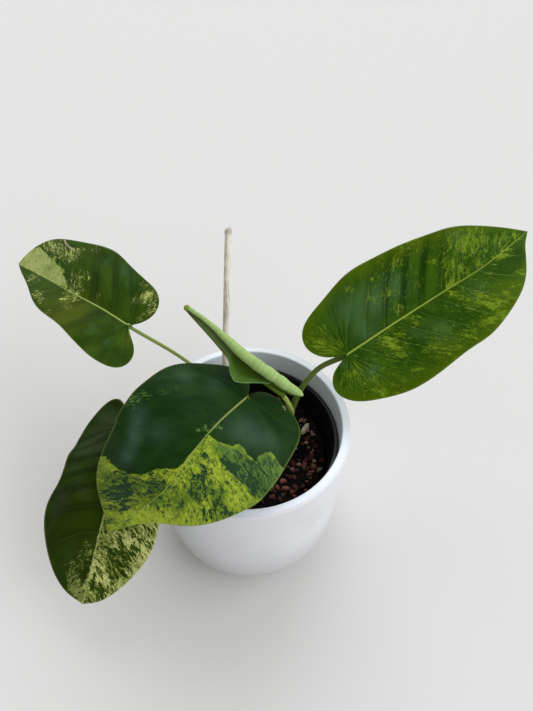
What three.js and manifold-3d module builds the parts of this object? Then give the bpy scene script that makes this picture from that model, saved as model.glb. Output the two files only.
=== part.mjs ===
// Potted variegated homalomena: five leaves on a short stem, in a nursery pot inside a planter.
// Millimetres, +Z up. The origin is the centre of the planter's flat base; the front faces -Y.
import * as THREE from 'three';
import { mergeVertices } from 'three/addons/utils/BufferGeometryUtils.js';
import Module from 'manifold-3d';

const wasm = await Module();
wasm.setup();

// Driving dimensions
const GAP = 0.3; // clearance between neighbouring pieces

const PLANTER_RADIUS = 75;
const PLANTER_HEIGHT = 140;
const PLANTER_WALL = 6.7;
const PLANTER_TAPER = 1.2; // how much narrower the wall is above the rounded corner
const PLANTER_CORNER = 37;
const PLANTER_FLOOR = 6.5;
const RIM_ROUNDING = 2.2;
const RIM_BAND = 9; // below the rim the wall starts to draw in
const POT_SIDES = 48;

const NURSERY_RIM_RADIUS = 67.2;
const NURSERY_RIM_HEIGHT = 3.2;
const NURSERY_TOP = 122;
const NURSERY_WALL = 1.4;
const NURSERY_TOP_RADIUS = 66;
const NURSERY_FOOT_RADIUS = 45.5;
const NURSERY_BASE_RADIUS = 36.5;
const NURSERY_FOOT_HEIGHT = 4;
const NURSERY_SIDES = 32; // the mix inside has as many
const DRAIN_HOLES = 5;
const DRAIN_HOLE_RADIUS = 4;
const DRAIN_CIRCLE_RADIUS = 25;

const SOIL_LEVEL = 101;
const SOIL_RINGS = [0, 12, 24, 35, 45, 53]; // radii of the rings that carry the surface's bumps
const GRANULE_COUNT = 42;
const GRANULE_SEED = 11;
const GRANULE_MIN = 1.7; // half sizes of the lava and pumice pieces
const GRANULE_MAX = 3.3;
const GRANULE_CLEARANCE = 7.5; // granules keep this far from the stem and from the stake

const SLIVER = 0.02; // faces thinner than this are merged into their neighbours

const STAKE_RADIUS = 2.4;
const STAKE_FOOT = new THREE.Vector3(-26, 39, 62);
const STAKE_TOP = new THREE.Vector3(-12.6, 58, 266);

const STEM_FOOT = new THREE.Vector3(29, 22, 62);
const STEM_TOP = new THREE.Vector3(28, 21, 117);
const STEM_RADIUS = 7;
const STEM_CROWN_RADIUS = 6;
const STALK_SIDES = 8;

const BLADE_THICKNESS = 0.8;
const BLADE_STEPS = 24; // from the stalk round each half of the margin to the tip
const BLADE_BANDS = 3; // from the midrib out to the margin
const VEIN_LAG = 0.45; // how far the side veins sweep towards the tip for each unit outwards
const VEIN_SWEEP = 1.5;
const RIB_SINK = 0.9; // the midrib's centre below the blade's middle layer
const RIB_REACH = 0.82; // share of the blade's length that the raised midrib runs along
const SEAT_DEPTH = 2.8; // the stalk's end below the blade's middle layer

// Blades. Points of rib run along the midrib from the stalk to the tip. upBase and upTip are the
// directions that the upper face looks in there. foldRight and foldLeft are how many degrees each half
// rises from the midrib, at the base and at the tip, and curl is how fast it then turns down.
// right and left list each margin from the stalk's notch to the tip, seen from above with the tip
// ahead: distance along the midrib from the stalk, and distance out from the midrib.
const BLADES = {
  blade_front: {
    rib: [[-0.7, -7.2, 178], [-17.3, -30.7, 183], [-32, -50, 179], [-50.7, -69.3, 163], [-92, -77.7, 120]],
    upBase: [0.05, -0.3, 0.95],
    upTip: [-0.3, -0.85, 0.5],
    foldRight: [5, -10],
    foldLeft: [5, -12],
    curl: 3,
    right: [[0, 0], [-12, 5], [-17, 15], [-14, 25], [2, 39], [21, 53], [46, 57], [85, 58.5], [121, 52], [136, 38],
      [140.2, 23], [141.2, 11], [146, 0]],
    left: [[0, 0], [-10, 1.5], [-18, 8], [-19, 22], [-12, 40], [8, 47], [34, 51], [60, 51.5], [84, 49], [106, 35.5],
      [118, 23], [124, 12], [134, 4.5], [146, 0]],
    wave: 0.9,
    waves: 4.5,
    ribRadius: 1.7,
    colour: 0x2f5a2a,
  },
  blade_lower_left: {
    rib: [[-85.4, -13.5, 149], [-88.6, -37.6, 141], [-96.2, -58, 121], [-106.3, -77.3, 92], [-121, -100.9, 48]],
    upBase: [-0.1, -0.6, 0.75],
    upTip: [-0.05, -0.7, 0.7],
    foldRight: [-10, -10],
    foldLeft: [22, -10],
    curl: 3,
    right: [[0, 0], [-22, 6], [-32, 13], [-28, 21], [-14, 28], [6, 38], [30, 42], [70, 44], [104, 51.5], [121, 47],
      [134, 35], [141, 18], [144, 0]],
    left: [[0, 0], [-18, 5], [-27, 12], [-26, 21], [-13, 29], [10, 32], [40, 33], [80, 38.5], [108, 35.5],
      [126, 26], [138, 13], [144, 0]],
    wave: 0.9,
    waves: 4.5,
    ribRadius: 1.5,
    colour: 0x35512a,
  },
  blade_upper_left: {
    rib: [[-93.1, 61, 176], [-114.6, 72.8, 182], [-138.4, 86.8, 184], [-168.7, 109.2, 181], [-202.5, 138.2, 172]],
    upBase: [-0.1, -0.35, 0.92],
    upTip: [-0.1, -0.35, 0.92],
    foldRight: [4, 0],
    foldLeft: [20, 22],
    curl: 2,
    right: [[0, 0], [-12, 10.5], [-15, 22], [-3, 34], [18, 37.7], [38, 41.6], [56, 46.3], [74, 47.5], [97, 44.5],
      [120, 38.5], [133, 31.5], [139, 14], [138, 0]],
    left: [[0, 0], [-4, 4.8], [-12, 8.2], [-22, 14], [-28, 26], [-20, 34], [3, 37], [30, 34], [60, 28], [80, 26.5],
      [93, 21], [108, 13], [125, 6.5], [138, 0]],
    wave: 0.8,
    waves: 4,
    ribRadius: 1.4,
    colour: 0x3d6a24,
  },
  blade_right: {
    rib: [[69.8, 29, 182], [103, 45.2, 198], [134.7, 60.7, 212], [167.5, 78.3, 224], [206.2, 111.6, 230]],
    upBase: [0.1, -0.35, 0.9],
    upTip: [0.1, -0.35, 0.9],
    foldRight: [5, 5],
    foldLeft: [5, 5],
    curl: 2,
    right: [[0, 0], [-9, 3], [-20, 8], [-23, 18], [-16.5, 29.5], [3, 39], [25, 45.5], [52, 45.4], [79, 42.8], [97, 43],
      [118, 36], [136, 28], [149, 18], [157, 8], [169, 0]],
    left: [[0, 0], [-8, 3], [-19, 11], [-23, 25], [-13, 36], [8, 43], [33, 50], [62, 49], [102, 43], [132, 35],
      [150, 21], [162, 8], [169, 0]],
    wave: 0.9,
    waves: 5.5,
    ribRadius: 1.7,
    colour: 0x47752a,
  },
};

// Stalks: points from the crown of the stem to just short of the blade, and the radius at both ends.
// The last point of each open blade's stalk is worked out from the blade itself.
const STALKS = {
  blade_front: { path: [[28, 20, 104], [27.5, 13, 130], [22, 5, 155], [9, -2, 171]], base: 3.2, end: 1.9 },
  blade_lower_left: { path: [[27, 21, 104], [8, 14, 126], [-24, 6, 146], [-58, -2, 152]], base: 3.1, end: 1.7 },
  blade_upper_left: { path: [[27, 22, 104], [3.5, 27, 125], [-28, 36.2, 141], [-59, 52.7, 154]], base: 3, end: 1.6 },
  blade_right: { path: [[29, 22, 104], [33, 20.5, 130], [38.8, 22.9, 150.5], [51, 28.8, 167]], base: 3.2, end: 2 },
  blade_new_leaf: { path: [[29, 20, 104], [31.6, 7.5, 140], [29.3, -0.2, 158], [26, -4.5, 172]], base: 3, end: 1.7 },
};

// New leaf. The roll's centre line runs from the rounded base lobes to the tip.
const ROLL = {
  seat: [23.5, -6.8, 180],
  axis: [[34.6, -7.1, 185], [15.3, -0.3, 192], [-3.3, 9.9, 199], [-22.5, 25.3, 207], [-42.3, 40.9, 214]],
  towardsFront: [0.05, -0.66, 0.75],
  // along the roll as a share of its length, radius of the roll, width of the opened flap, and how far
  // the roll's centre lies across from that line
  stations: [[0, 2.4, 0, -1.3], [0.05, 3.6, 0, -1.3], [0.12, 4.3, 0, -0.5], [0.2, 4.2, 0.4, 0.5], [0.25, 4, 2.8, 0.8],
    [0.3, 3.8, 5.8, 1], [0.36, 3.7, 10.6, 1.2], [0.41, 3.6, 13.4, 1.3], [0.46, 3.6, 11.2, 1.3], [0.51, 3.5, 6.2, 1.3],
    [0.56, 3.4, 4.4, 1.4], [0.64, 2.9, 4.4, 1.5], [0.75, 2.2, 4.3, 1.7], [0.87, 1.7, 3.2, 1.5], [1, 1.7, 0.4, 0.3]],
  // along the roll as a share of its length, then the midrib's centre across and in front of the roll's
  ribTrack: [[0.17, -6.4, -3], [0.25, -5.8, -4.2], [0.33, -5.2, -4.9], [0.43, -4.2, -4.8], [0.6, -1.4, -3.9]],
  ribRadius: 2,
  tipKnob: 2.2, // radius of the knob that the roll ends in
  turns: 1.15,
  tightening: 0.42, // share of the radius that the sheet loses over those turns
  narrowTurns: 0.62, // share of the turns that its narrow tip holds
  lap: 0.4, // radians that the sheet reaches under the roll before the flap leaves it
  flapRise: 0.016, // how fast the flap bends up towards its free margin
  flapColumns: 4,
  rollColumns: 14,
  colour: 0x9cc466,
};

const FINISHES = {
  planter: { color: 0xeef1f6, roughness: 0.45, metalness: 0 },
  nursery: { color: 0x15161a, roughness: 0.4, metalness: 0 },
  soil: { color: 0x2c211d, roughness: 0.95, metalness: 0 },
  stake: { color: 0xb9ae9c, roughness: 0.8, metalness: 0 },
  stem: { color: 0x6d8a35, roughness: 0.5, metalness: 0 },
};

// Helpers

function vector(values) {
  return new THREE.Vector3(...values);
}

function geometryFrom(positions, indices) {
  const geometry = new THREE.BufferGeometry();
  geometry.setAttribute('position', new THREE.Float32BufferAttribute(positions, 3));
  geometry.setIndex(indices);
  return geometry;
}

// Merges shared corners and drops the triangles that this leaves without area.
function weld(geometry) {
  const bare = geometry.clone();
  bare.deleteAttribute('normal');
  bare.deleteAttribute('uv');
  const merged = mergeVertices(bare, 1e-4);
  const old = merged.index.array;
  const kept = [];
  for (let i = 0; i < old.length; i += 3) {
    const [a, b, c] = [old[i], old[i + 1], old[i + 2]];
    if (a !== b && b !== c && c !== a) kept.push(a, b, c);
  }
  return geometryFrom(merged.attributes.position.array, kept);
}

function volumeOf(geometry) {
  const position = geometry.attributes.position;
  const index = geometry.index.array;
  const [a, b, c] = [new THREE.Vector3(), new THREE.Vector3(), new THREE.Vector3()];
  let total = 0;
  for (let i = 0; i < index.length; i += 3) {
    a.fromBufferAttribute(position, index[i]);
    b.fromBufferAttribute(position, index[i + 1]);
    c.fromBufferAttribute(position, index[i + 2]);
    total += a.dot(b.cross(c)) / 6;
  }
  return total;
}

// Welds a closed geometry and turns its faces outwards.
function outward(geometry) {
  const closed = weld(geometry);
  if (volumeOf(closed) < 0) {
    const index = Array.from(closed.index.array);
    for (let i = 0; i < index.length; i += 3) {
      [index[i], index[i + 1]] = [index[i + 1], index[i]];
    }
    closed.setIndex(index);
  }
  return closed;
}

function solidOf(geometry) {
  const closed = outward(geometry);
  return new wasm.Manifold(new wasm.Mesh({
    numProp: 3,
    vertProperties: new Float32Array(closed.attributes.position.array),
    triVerts: new Uint32Array(closed.index.array),
  }));
}

// The solid's surface, without the slivers that joins and cuts leave along their edges.
function geometryOf(solid) {
  const mesh = solid.simplify(SLIVER).getMesh();
  return geometryFrom(mesh.vertProperties, Array.from(mesh.triVerts));
}

function piece(name, geometry, finish) {
  const mesh = new THREE.Mesh(geometry, new THREE.MeshStandardMaterial(finish));
  mesh.name = name;
  return mesh;
}

// Turns a profile of [radius, height] pairs round the upright axis.
function turned(profile, sides) {
  const lathe = new THREE.LatheGeometry(profile.map(([radius, height]) => new THREE.Vector2(radius, height)), sides);
  lathe.rotateX(Math.PI / 2);
  return lathe;
}

// Points of an arc in a profile, both ends included.
function arc(centreRadius, centreHeight, radius, fromDegrees, toDegrees, steps) {
  return Array.from({ length: steps + 1 }, (_, i) => {
    const angle = THREE.MathUtils.degToRad(fromDegrees + ((toDegrees - fromDegrees) * i) / steps);
    return [centreRadius + radius * Math.cos(angle), centreHeight + radius * Math.sin(angle)];
  });
}

// A round rod through the points, with its radius given as a function of the share travelled.
function rod(points, radiusAt, steps, sides) {
  const curve = new THREE.CatmullRomCurve3(points, false, 'catmullrom', 0.5);
  const frames = curve.computeFrenetFrames(steps, false);
  const positions = [];
  const indices = [];
  for (let i = 0; i <= steps; i += 1) {
    const centre = curve.getPointAt(i / steps);
    const radius = radiusAt(i / steps);
    for (let k = 0; k < sides; k += 1) {
      const angle = (2 * Math.PI * k) / sides;
      const corner = centre.clone()
        .addScaledVector(frames.normals[i], radius * Math.cos(angle))
        .addScaledVector(frames.binormals[i], radius * Math.sin(angle));
      positions.push(corner.x, corner.y, corner.z);
    }
  }
  const firstCap = positions.length / 3;
  const start = curve.getPointAt(0);
  const end = curve.getPointAt(1);
  positions.push(start.x, start.y, start.z, end.x, end.y, end.z);
  for (let k = 0; k < sides; k += 1) {
    const next = (k + 1) % sides;
    indices.push(firstCap, next, k);
    indices.push(firstCap + 1, steps * sides + k, steps * sides + next);
    for (let i = 0; i < steps; i += 1) {
      const [a, b] = [i * sides + k, i * sides + next];
      const [c, d] = [a + sides, b + sides];
      indices.push(a, b, d, a, d, c);
    }
  }
  return geometryFrom(positions, indices);
}

// Gives an open sheet its thickness: both faces get the same triangles, and walls close the border.
function thickened(sheet, thickness) {
  const open = weld(sheet);
  open.computeVertexNormals();
  const { position, normal } = open.attributes;
  const index = open.index.array;
  const count = position.count;
  const positions = [];
  for (const side of [0.5, -0.5]) {
    for (let i = 0; i < count; i += 1) {
      const point = new THREE.Vector3().fromBufferAttribute(position, i);
      point.addScaledVector(new THREE.Vector3().fromBufferAttribute(normal, i), side * thickness);
      positions.push(point.x, point.y, point.z);
    }
  }
  const indices = [];
  const edges = new Set();
  for (let i = 0; i < index.length; i += 3) {
    const corners = [index[i], index[i + 1], index[i + 2]];
    indices.push(...corners);
    indices.push(corners[0] + count, corners[2] + count, corners[1] + count);
    for (let k = 0; k < 3; k += 1) edges.add(`${corners[k]} ${corners[(k + 1) % 3]}`);
  }
  for (const edge of edges) {
    const [a, b] = edge.split(' ').map(Number);
    if (!edges.has(`${b} ${a}`)) indices.push(b, a, a + count, b, a + count, b + count);
  }
  return geometryFrom(positions, indices);
}

// Interpolates a column of the roll's stations smoothly at a share of its length.
function stationValue(stations, share, column) {
  const last = stations.length - 1;
  let i = 0;
  while (i < last - 1 && stations[i + 1][0] < share) i += 1;
  const [low, high] = [stations[i], stations[i + 1]];
  return THREE.MathUtils.mapLinear(share, low[0], high[0], low[column], high[column]);
}

// Pseudo-random numbers from 0 to 1 that repeat for the same seed.
function seededRandom(seed) {
  let state = seed;
  return () => {
    state = (state * 1664525 + 1013904223) % 4294967296;
    return state / 4294967296;
  };
}

// The surface of an open leaf blade.
class Blade {
  constructor(shape) {
    this.shape = shape;
    this.rib = new THREE.CatmullRomCurve3(shape.rib.map(vector), false, 'catmullrom', 0.5);
    this.rib.arcLengthDivisions = 400;
    this.length = this.rib.getLength();
    this.margins = {
      right: this.marginCurve(shape.right),
      left: this.marginCurve(shape.left),
    };
  }

  marginCurve(points) {
    const flat = points.map(([along, out]) => new THREE.Vector3(along, out, 0));
    return new THREE.CatmullRomCurve3(flat, false, 'catmullrom', 0.5);
  }

  // The midrib's point, direction, rightward and upward axes at a distance along it.
  frame(along) {
    const share = along / this.length;
    const inside = THREE.MathUtils.clamp(share, 0, 1);
    const step = 1e-3;
    const [low, high] = [Math.max(inside - step, 0), Math.min(inside + step, 1)];
    const speed = this.rib.getPoint(high).sub(this.rib.getPoint(low)).divideScalar(high - low);
    const point = this.rib.getPoint(inside).addScaledVector(speed, share - inside);
    const forward = speed.normalize();
    const up = vector(this.shape.upBase).lerp(vector(this.shape.upTip), inside);
    const right = new THREE.Vector3().crossVectors(forward, up).normalize();
    up.crossVectors(right, forward);
    return { point, forward, right, up, inside };
  }

  // A point of the middle layer; side is 1 on the right half and -1 on the left half.
  at(along, out, side, rise = 0) {
    const { point, right, up, inside } = this.frame(along);
    const fold = side > 0 ? this.shape.foldRight : this.shape.foldLeft;
    const slope = THREE.MathUtils.degToRad(fold[0] + (fold[1] - fold[0]) * inside) - (this.shape.curl * out) / 1000;
    return point
      .addScaledVector(right, side * out * Math.cos(slope))
      .addScaledVector(up, out * Math.sin(slope) + rise);
  }

  // Where on the midrib the side veins start that reach the margins after a share of their length.
  veinOrigin(travelled) {
    const starts = Object.values(this.margins).map((margin) => {
      const edge = margin.getPointAt(travelled);
      return edge.x - VEIN_LAG * edge.y;
    });
    return Math.max((starts[0] + starts[1]) / 2, 0);
  }

  // Half of the blade: rows follow the side veins from the midrib to the margin.
  half(side, positions, indices) {
    const margin = side > 0 ? this.margins.right : this.margins.left;
    const first = positions.length / 3;
    for (let i = 0; i <= BLADE_STEPS; i += 1) {
      const travelled = i / BLADE_STEPS;
      const edge = margin.getPointAt(travelled);
      const origin = this.veinOrigin(travelled);
      for (let j = 0; j <= BLADE_BANDS; j += 1) {
        const share = j / BLADE_BANDS;
        const along = origin + (edge.x - origin) * share ** VEIN_SWEEP;
        const crest = Math.sin(2 * Math.PI * this.shape.waves * travelled);
        const ease = Math.sin(Math.PI * travelled);
        const point = this.at(along, edge.y * share, side, this.shape.wave * crest * ease * share ** 2);
        positions.push(point.x, point.y, point.z);
      }
    }
    const row = BLADE_BANDS + 1;
    for (let i = 0; i < BLADE_STEPS; i += 1) {
      for (let j = 0; j < BLADE_BANDS; j += 1) {
        const a = first + i * row + j;
        const [b, c, d] = [a + 1, a + row + 1, a + row];
        if (side > 0) indices.push(a, b, c, a, c, d);
        else indices.push(a, c, b, a, d, c);
      }
    }
  }

  // The midrib is a tapering rod along the underside, which starts above the stalk's end.
  ribRod(arrival) {
    const reach = this.length * RIB_REACH;
    const points = [this.seat(), this.seat().addScaledVector(arrival, 1)];
    for (const share of [0.1, 0.2, 0.4, 0.6, 0.8, 1]) {
      const { point, up } = this.frame(reach * share);
      const sink = THREE.MathUtils.lerp(RIB_SINK, 0.3, share);
      points.push(point.addScaledVector(up, -sink));
    }
    return rod(points, (share) => THREE.MathUtils.lerp(this.shape.ribRadius, 0.55, share ** 0.7), 10, 6);
  }

  // Where the stalk hands over to the midrib, just below the blade.
  seat() {
    const { point, up } = this.frame(0);
    return point.addScaledVector(up, -SEAT_DEPTH);
  }

  // The sheet and its midrib as one body; arrival is the direction in which the stalk comes in.
  geometry(arrival) {
    const positions = [];
    const indices = [];
    this.half(1, positions, indices);
    this.half(-1, positions, indices);
    const sheet = thickened(geometryFrom(positions, indices), BLADE_THICKNESS);
    return geometryOf(solidOf(sheet).add(solidOf(this.ribRod(arrival))));
  }
}

// Direction in which a stalk arrives at its seat.
function arrivalAt(stalk, seat) {
  return seat.clone().sub(vector(stalk.path[stalk.path.length - 1])).normalize();
}

// Stalk from the crown towards a seat; it stops a gap short of it and runs straight at the end.
function stalkRod(stalk, seat) {
  const direction = arrivalAt(stalk, seat);
  const points = stalk.path.map(vector);
  points.push(seat.clone().addScaledVector(direction, -1.5));
  points.push(seat.clone().addScaledVector(direction, -GAP));
  const radiusAt = (share) => THREE.MathUtils.lerp(stalk.base, stalk.end, Math.min(share * 1.8, 1));
  return rod(points, radiusAt, 11, STALK_SIDES);
}

function planter() {
  const wall = PLANTER_RADIUS - PLANTER_TAPER;
  const corner = wall - PLANTER_CORNER;
  const innerCorner = PLANTER_CORNER - PLANTER_FLOOR;
  const inner = PLANTER_RADIUS - PLANTER_WALL;
  const profile = [
    [0, 0],
    ...arc(corner, PLANTER_CORNER, PLANTER_CORNER, -90, 0, 7),
    [PLANTER_RADIUS - 0.3, PLANTER_HEIGHT - RIM_BAND],
    ...arc(PLANTER_RADIUS - RIM_ROUNDING, PLANTER_HEIGHT - RIM_ROUNDING, RIM_ROUNDING, 0, 90, 3),
    ...arc(inner + RIM_ROUNDING / 2, PLANTER_HEIGHT - RIM_ROUNDING / 2, RIM_ROUNDING / 2, 90, 180, 2),
    ...arc(corner, PLANTER_CORNER, innerCorner, 0, -90, 5),
    [0, PLANTER_FLOOR],
  ];
  return outward(turned(profile, POT_SIDES));
}

const NURSERY_BOTTOM = PLANTER_FLOOR + GAP;

function nurseryPot() {
  const lip = NURSERY_TOP - NURSERY_RIM_HEIGHT;
  const foot = NURSERY_BOTTOM + NURSERY_FOOT_HEIGHT;
  const profile = [
    [0, NURSERY_BOTTOM],
    [NURSERY_BASE_RADIUS, NURSERY_BOTTOM],
    [NURSERY_FOOT_RADIUS, foot],
    [NURSERY_TOP_RADIUS, lip],
    [NURSERY_RIM_RADIUS, lip + 0.4],
    [NURSERY_RIM_RADIUS, NURSERY_TOP - 0.5],
    [NURSERY_RIM_RADIUS - 0.6, NURSERY_TOP],
    [NURSERY_TOP_RADIUS - NURSERY_WALL, NURSERY_TOP],
    [NURSERY_TOP_RADIUS - NURSERY_WALL, lip],
    [NURSERY_FOOT_RADIUS - NURSERY_WALL, foot + 0.4],
    [NURSERY_BASE_RADIUS - 0.4, NURSERY_BOTTOM + NURSERY_WALL],
    [0, NURSERY_BOTTOM + NURSERY_WALL],
  ];
  let solid = solidOf(turned(profile, NURSERY_SIDES));
  for (let i = 0; i < DRAIN_HOLES; i += 1) {
    const angle = (2 * Math.PI * i) / DRAIN_HOLES;
    const drill = new THREE.CylinderGeometry(DRAIN_HOLE_RADIUS, DRAIN_HOLE_RADIUS, 6, 10);
    drill.rotateX(Math.PI / 2);
    drill.translate(DRAIN_CIRCLE_RADIUS * Math.cos(angle), DRAIN_CIRCLE_RADIUS * Math.sin(angle), NURSERY_BOTTOM);
    solid = solid.subtract(solidOf(drill));
  }
  return geometryOf(solid);
}

// Inner radius of the nursery pot at a height.
function nurseryInside(height) {
  const lip = NURSERY_TOP - NURSERY_RIM_HEIGHT;
  const foot = NURSERY_BOTTOM + NURSERY_FOOT_HEIGHT;
  return THREE.MathUtils.mapLinear(height, foot, lip, NURSERY_FOOT_RADIUS, NURSERY_TOP_RADIUS) - NURSERY_WALL;
}

// Height of the mix's loose surface above or below its mean level.
function soilBump(x, y) {
  return 1.3 * Math.sin(x / 9 + 0.6) * Math.cos(y / 11) + 0.7 * Math.sin((x - y) / 5.2);
}

// The stake, or with a clearance the hole that it stands in.
function stakeRod(clearance = 0) {
  const foot = STAKE_FOOT.clone();
  foot.z -= clearance;
  return rod([foot, STAKE_TOP], () => STAKE_RADIUS + clearance, 1, STALK_SIDES);
}

// The short stem, or with a clearance the hole that it stands in.
function stemRod(clearance = 0) {
  const foot = STEM_FOOT.clone();
  foot.z -= clearance;
  const points = [foot, foot.clone().lerp(STEM_TOP, 0.5), STEM_TOP];
  const radiusAt = (share) => {
    const shaft = THREE.MathUtils.lerp(STEM_RADIUS - 1.5, STEM_RADIUS, Math.min(share * 2, 1));
    const crown = THREE.MathUtils.lerp(shaft, STEM_CROWN_RADIUS, THREE.MathUtils.smoothstep(share, 0.75, 1));
    return crown + clearance;
  };
  return rod(points, radiusAt, 8, 12);
}

function soil() {
  const bottom = NURSERY_BOTTOM + NURSERY_WALL + GAP;
  const foot = NURSERY_BOTTOM + NURSERY_FOOT_HEIGHT + 1;
  const edge = nurseryInside(SOIL_LEVEL) - GAP;
  const profile = [
    [0, bottom],
    [NURSERY_BASE_RADIUS - 1.2, bottom],
    [nurseryInside(foot) - GAP, foot],
    [nurseryInside(SOIL_LEVEL - 4) - GAP, SOIL_LEVEL - 4],
    [edge - 0.8, SOIL_LEVEL - 1.5],
    ...SOIL_RINGS.toReversed().map((radius) => [radius, SOIL_LEVEL]),
  ];
  const bed = turned(profile, NURSERY_SIDES);
  const position = bed.attributes.position;
  for (let i = 0; i < position.count; i += 1) {
    const [x, y, z] = [position.getX(i), position.getY(i), position.getZ(i)];
    if (z > SOIL_LEVEL - 0.1) position.setZ(i, z + soilBump(x, y));
  }
  let solid = solidOf(bed);
  const stakeShare = (SOIL_LEVEL - STAKE_FOOT.z) / (STAKE_TOP.z - STAKE_FOOT.z);
  const stakeAtSoil = STAKE_FOOT.clone().lerp(STAKE_TOP, stakeShare);
  const random = seededRandom(GRANULE_SEED);
  let placed = 0;
  while (placed < GRANULE_COUNT) {
    const reach = SOIL_RINGS[SOIL_RINGS.length - 1] * Math.sqrt(random());
    const angle = 2 * Math.PI * random();
    const half = THREE.MathUtils.lerp(GRANULE_MIN, GRANULE_MAX, random() ** 1.6);
    const stretch = [1 + 0.5 * random(), 0.8 + 0.3 * random(), 0.7 + 0.3 * random()];
    const turn = new THREE.Euler(0.5 * random(), 0.5 * random(), Math.PI * random());
    const [x, y] = [reach * Math.cos(angle), reach * Math.sin(angle)];
    const stemDistance = Math.hypot(x - STEM_TOP.x, y - STEM_TOP.y) - STEM_RADIUS;
    const stakeDistance = Math.hypot(x - stakeAtSoil.x, y - stakeAtSoil.y) - STAKE_RADIUS;
    if (Math.min(stemDistance, stakeDistance) > GRANULE_CLEARANCE) {
      const granule = new THREE.IcosahedronGeometry(half, 0);
      granule.scale(...stretch);
      granule.applyMatrix4(new THREE.Matrix4().makeRotationFromEuler(turn));
      granule.translate(x, y, SOIL_LEVEL + soilBump(x, y) + half * 0.25);
      solid = solid.add(solidOf(granule));
      placed += 1;
    }
  }
  solid = solid.subtract(solidOf(stemRod(GAP))).subtract(solidOf(stakeRod(GAP)));
  return geometryOf(solid);
}

// Opened flap and roll of the new leaf as one sheet. Columns run from the flap's free margin, behind
// the roll, up over its back and front and on inside it.
function rolledSheet() {
  const axis = new THREE.CatmullRomCurve3(ROLL.axis.map(vector), false, 'catmullrom', 0.5);
  const positions = [];
  const indices = [];
  const columns = ROLL.flapColumns + ROLL.rollColumns;
  for (const [share] of ROLL.stations) {
    const centre = axis.getPointAt(share);
    const forward = axis.getTangentAt(share);
    const front = vector(ROLL.towardsFront).projectOnPlane(forward).normalize();
    const across = new THREE.Vector3().crossVectors(forward, front).normalize();
    const radius = stationValue(ROLL.stations, share, 1);
    const flap = stationValue(ROLL.stations, share, 2);
    const shift = stationValue(ROLL.stations, share, 3);
    for (let k = 0; k <= columns; k += 1) {
      let sideways;
      let outwards;
      if (k < ROLL.flapColumns) {
        const reach = 1 - k / ROLL.flapColumns;
        sideways = -(radius * 0.5 + (flap + radius * 0.5) * reach);
        outwards = -radius * (1 - 0.16 * reach) + ROLL.flapRise * flap * flap * reach ** 2;
      } else {
        const wound = (k - ROLL.flapColumns) / ROLL.rollColumns;
        const angle = -Math.PI / 2 - ROLL.lap + wound * 2 * Math.PI * rollTurns(radius);
        const tight = radius * (1 - ROLL.tightening * wound);
        sideways = tight * Math.cos(angle);
        outwards = tight * Math.sin(angle);
      }
      const point = centre.clone().addScaledVector(across, shift + sideways).addScaledVector(front, outwards);
      positions.push(point.x, point.y, point.z);
    }
  }
  const row = columns + 1;
  for (let i = 0; i < ROLL.stations.length - 1; i += 1) {
    for (let k = 0; k < columns; k += 1) {
      const a = i * row + k;
      const [b, c, d] = [a + 1, a + row + 1, a + row];
      indices.push(a, b, c, a, c, d);
    }
  }
  return geometryFrom(positions, indices);
}

// The narrow end holds less of a turn than the thick middle.
function rollTurns(radius) {
  return ROLL.turns * THREE.MathUtils.mapLinear(radius, 1.3, 4.6, ROLL.narrowTurns, 1);
}

// Midrib of the new leaf: it runs on from the stalk along the back of the roll.
function rolledRib() {
  const axis = new THREE.CatmullRomCurve3(ROLL.axis.map(vector), false, 'catmullrom', 0.5);
  const seat = vector(ROLL.seat);
  const points = [seat, seat.clone().addScaledVector(arrivalAt(STALKS.blade_new_leaf, seat), 1)];
  for (const [share, sideways, outwards] of ROLL.ribTrack) {
    const forward = axis.getTangentAt(share);
    const front = vector(ROLL.towardsFront).projectOnPlane(forward).normalize();
    const across = new THREE.Vector3().crossVectors(forward, front).normalize();
    points.push(axis.getPointAt(share).addScaledVector(front, outwards).addScaledVector(across, sideways));
  }
  return rod(points, (share) => THREE.MathUtils.lerp(ROLL.ribRadius, 0.8, share ** 2), 9, 8);
}

// Small knob at the tip of the roll.
function rolledTip() {
  const knob = new THREE.IcosahedronGeometry(ROLL.tipKnob, 1);
  knob.translate(...ROLL.axis[ROLL.axis.length - 1]);
  return knob;
}

function newLeaf() {
  const sheet = solidOf(thickened(rolledSheet(), BLADE_THICKNESS));
  return geometryOf(sheet.add(solidOf(rolledRib())).add(solidOf(rolledTip())));
}

function stemAndStalks(seats) {
  let solid = solidOf(stemRod());
  for (const [name, seat] of Object.entries(seats)) {
    solid = solid.add(solidOf(stalkRod(STALKS[name], seat)));
  }
  return geometryOf(solid);
}

// Assembly
const plant = new THREE.Group();
const blades = Object.fromEntries(Object.entries(BLADES).map(([name, shape]) => [name, new Blade(shape)]));
const seats = { blade_new_leaf: vector(ROLL.seat) };
for (const [name, blade] of Object.entries(blades)) seats[name] = blade.seat();

plant.add(piece('outer_pot', planter(), FINISHES.planter));
plant.add(piece('nursery_pot', nurseryPot(), FINISHES.nursery));
plant.add(piece('soil', soil(), FINISHES.soil));
plant.add(piece('stake', outward(stakeRod()), FINISHES.stake));
plant.add(piece('stem_and_stalks', stemAndStalks(seats), FINISHES.stem));
for (const [name, blade] of Object.entries(blades)) {
  const geometry = blade.geometry(arrivalAt(STALKS[name], seats[name]));
  plant.add(piece(name, geometry, { color: BLADES[name].colour, roughness: 0.4, metalness: 0 }));
}
plant.add(piece('blade_new_leaf', newLeaf(), { color: ROLL.colour, roughness: 0.5, metalness: 0 }));

export default plant;
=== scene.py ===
"""Potted variegated homalomena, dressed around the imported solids.

Lengths in the classes are millimetres in the frame of the solids, and meshes are made in metres.
The origin is the centre of the planter's base, +Z is up and -Y faces the camera's side.
"""

import logging
import math
from dataclasses import dataclass, field
from enum import Enum
from functools import reduce
from typing import Any, Callable, Sequence

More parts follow.
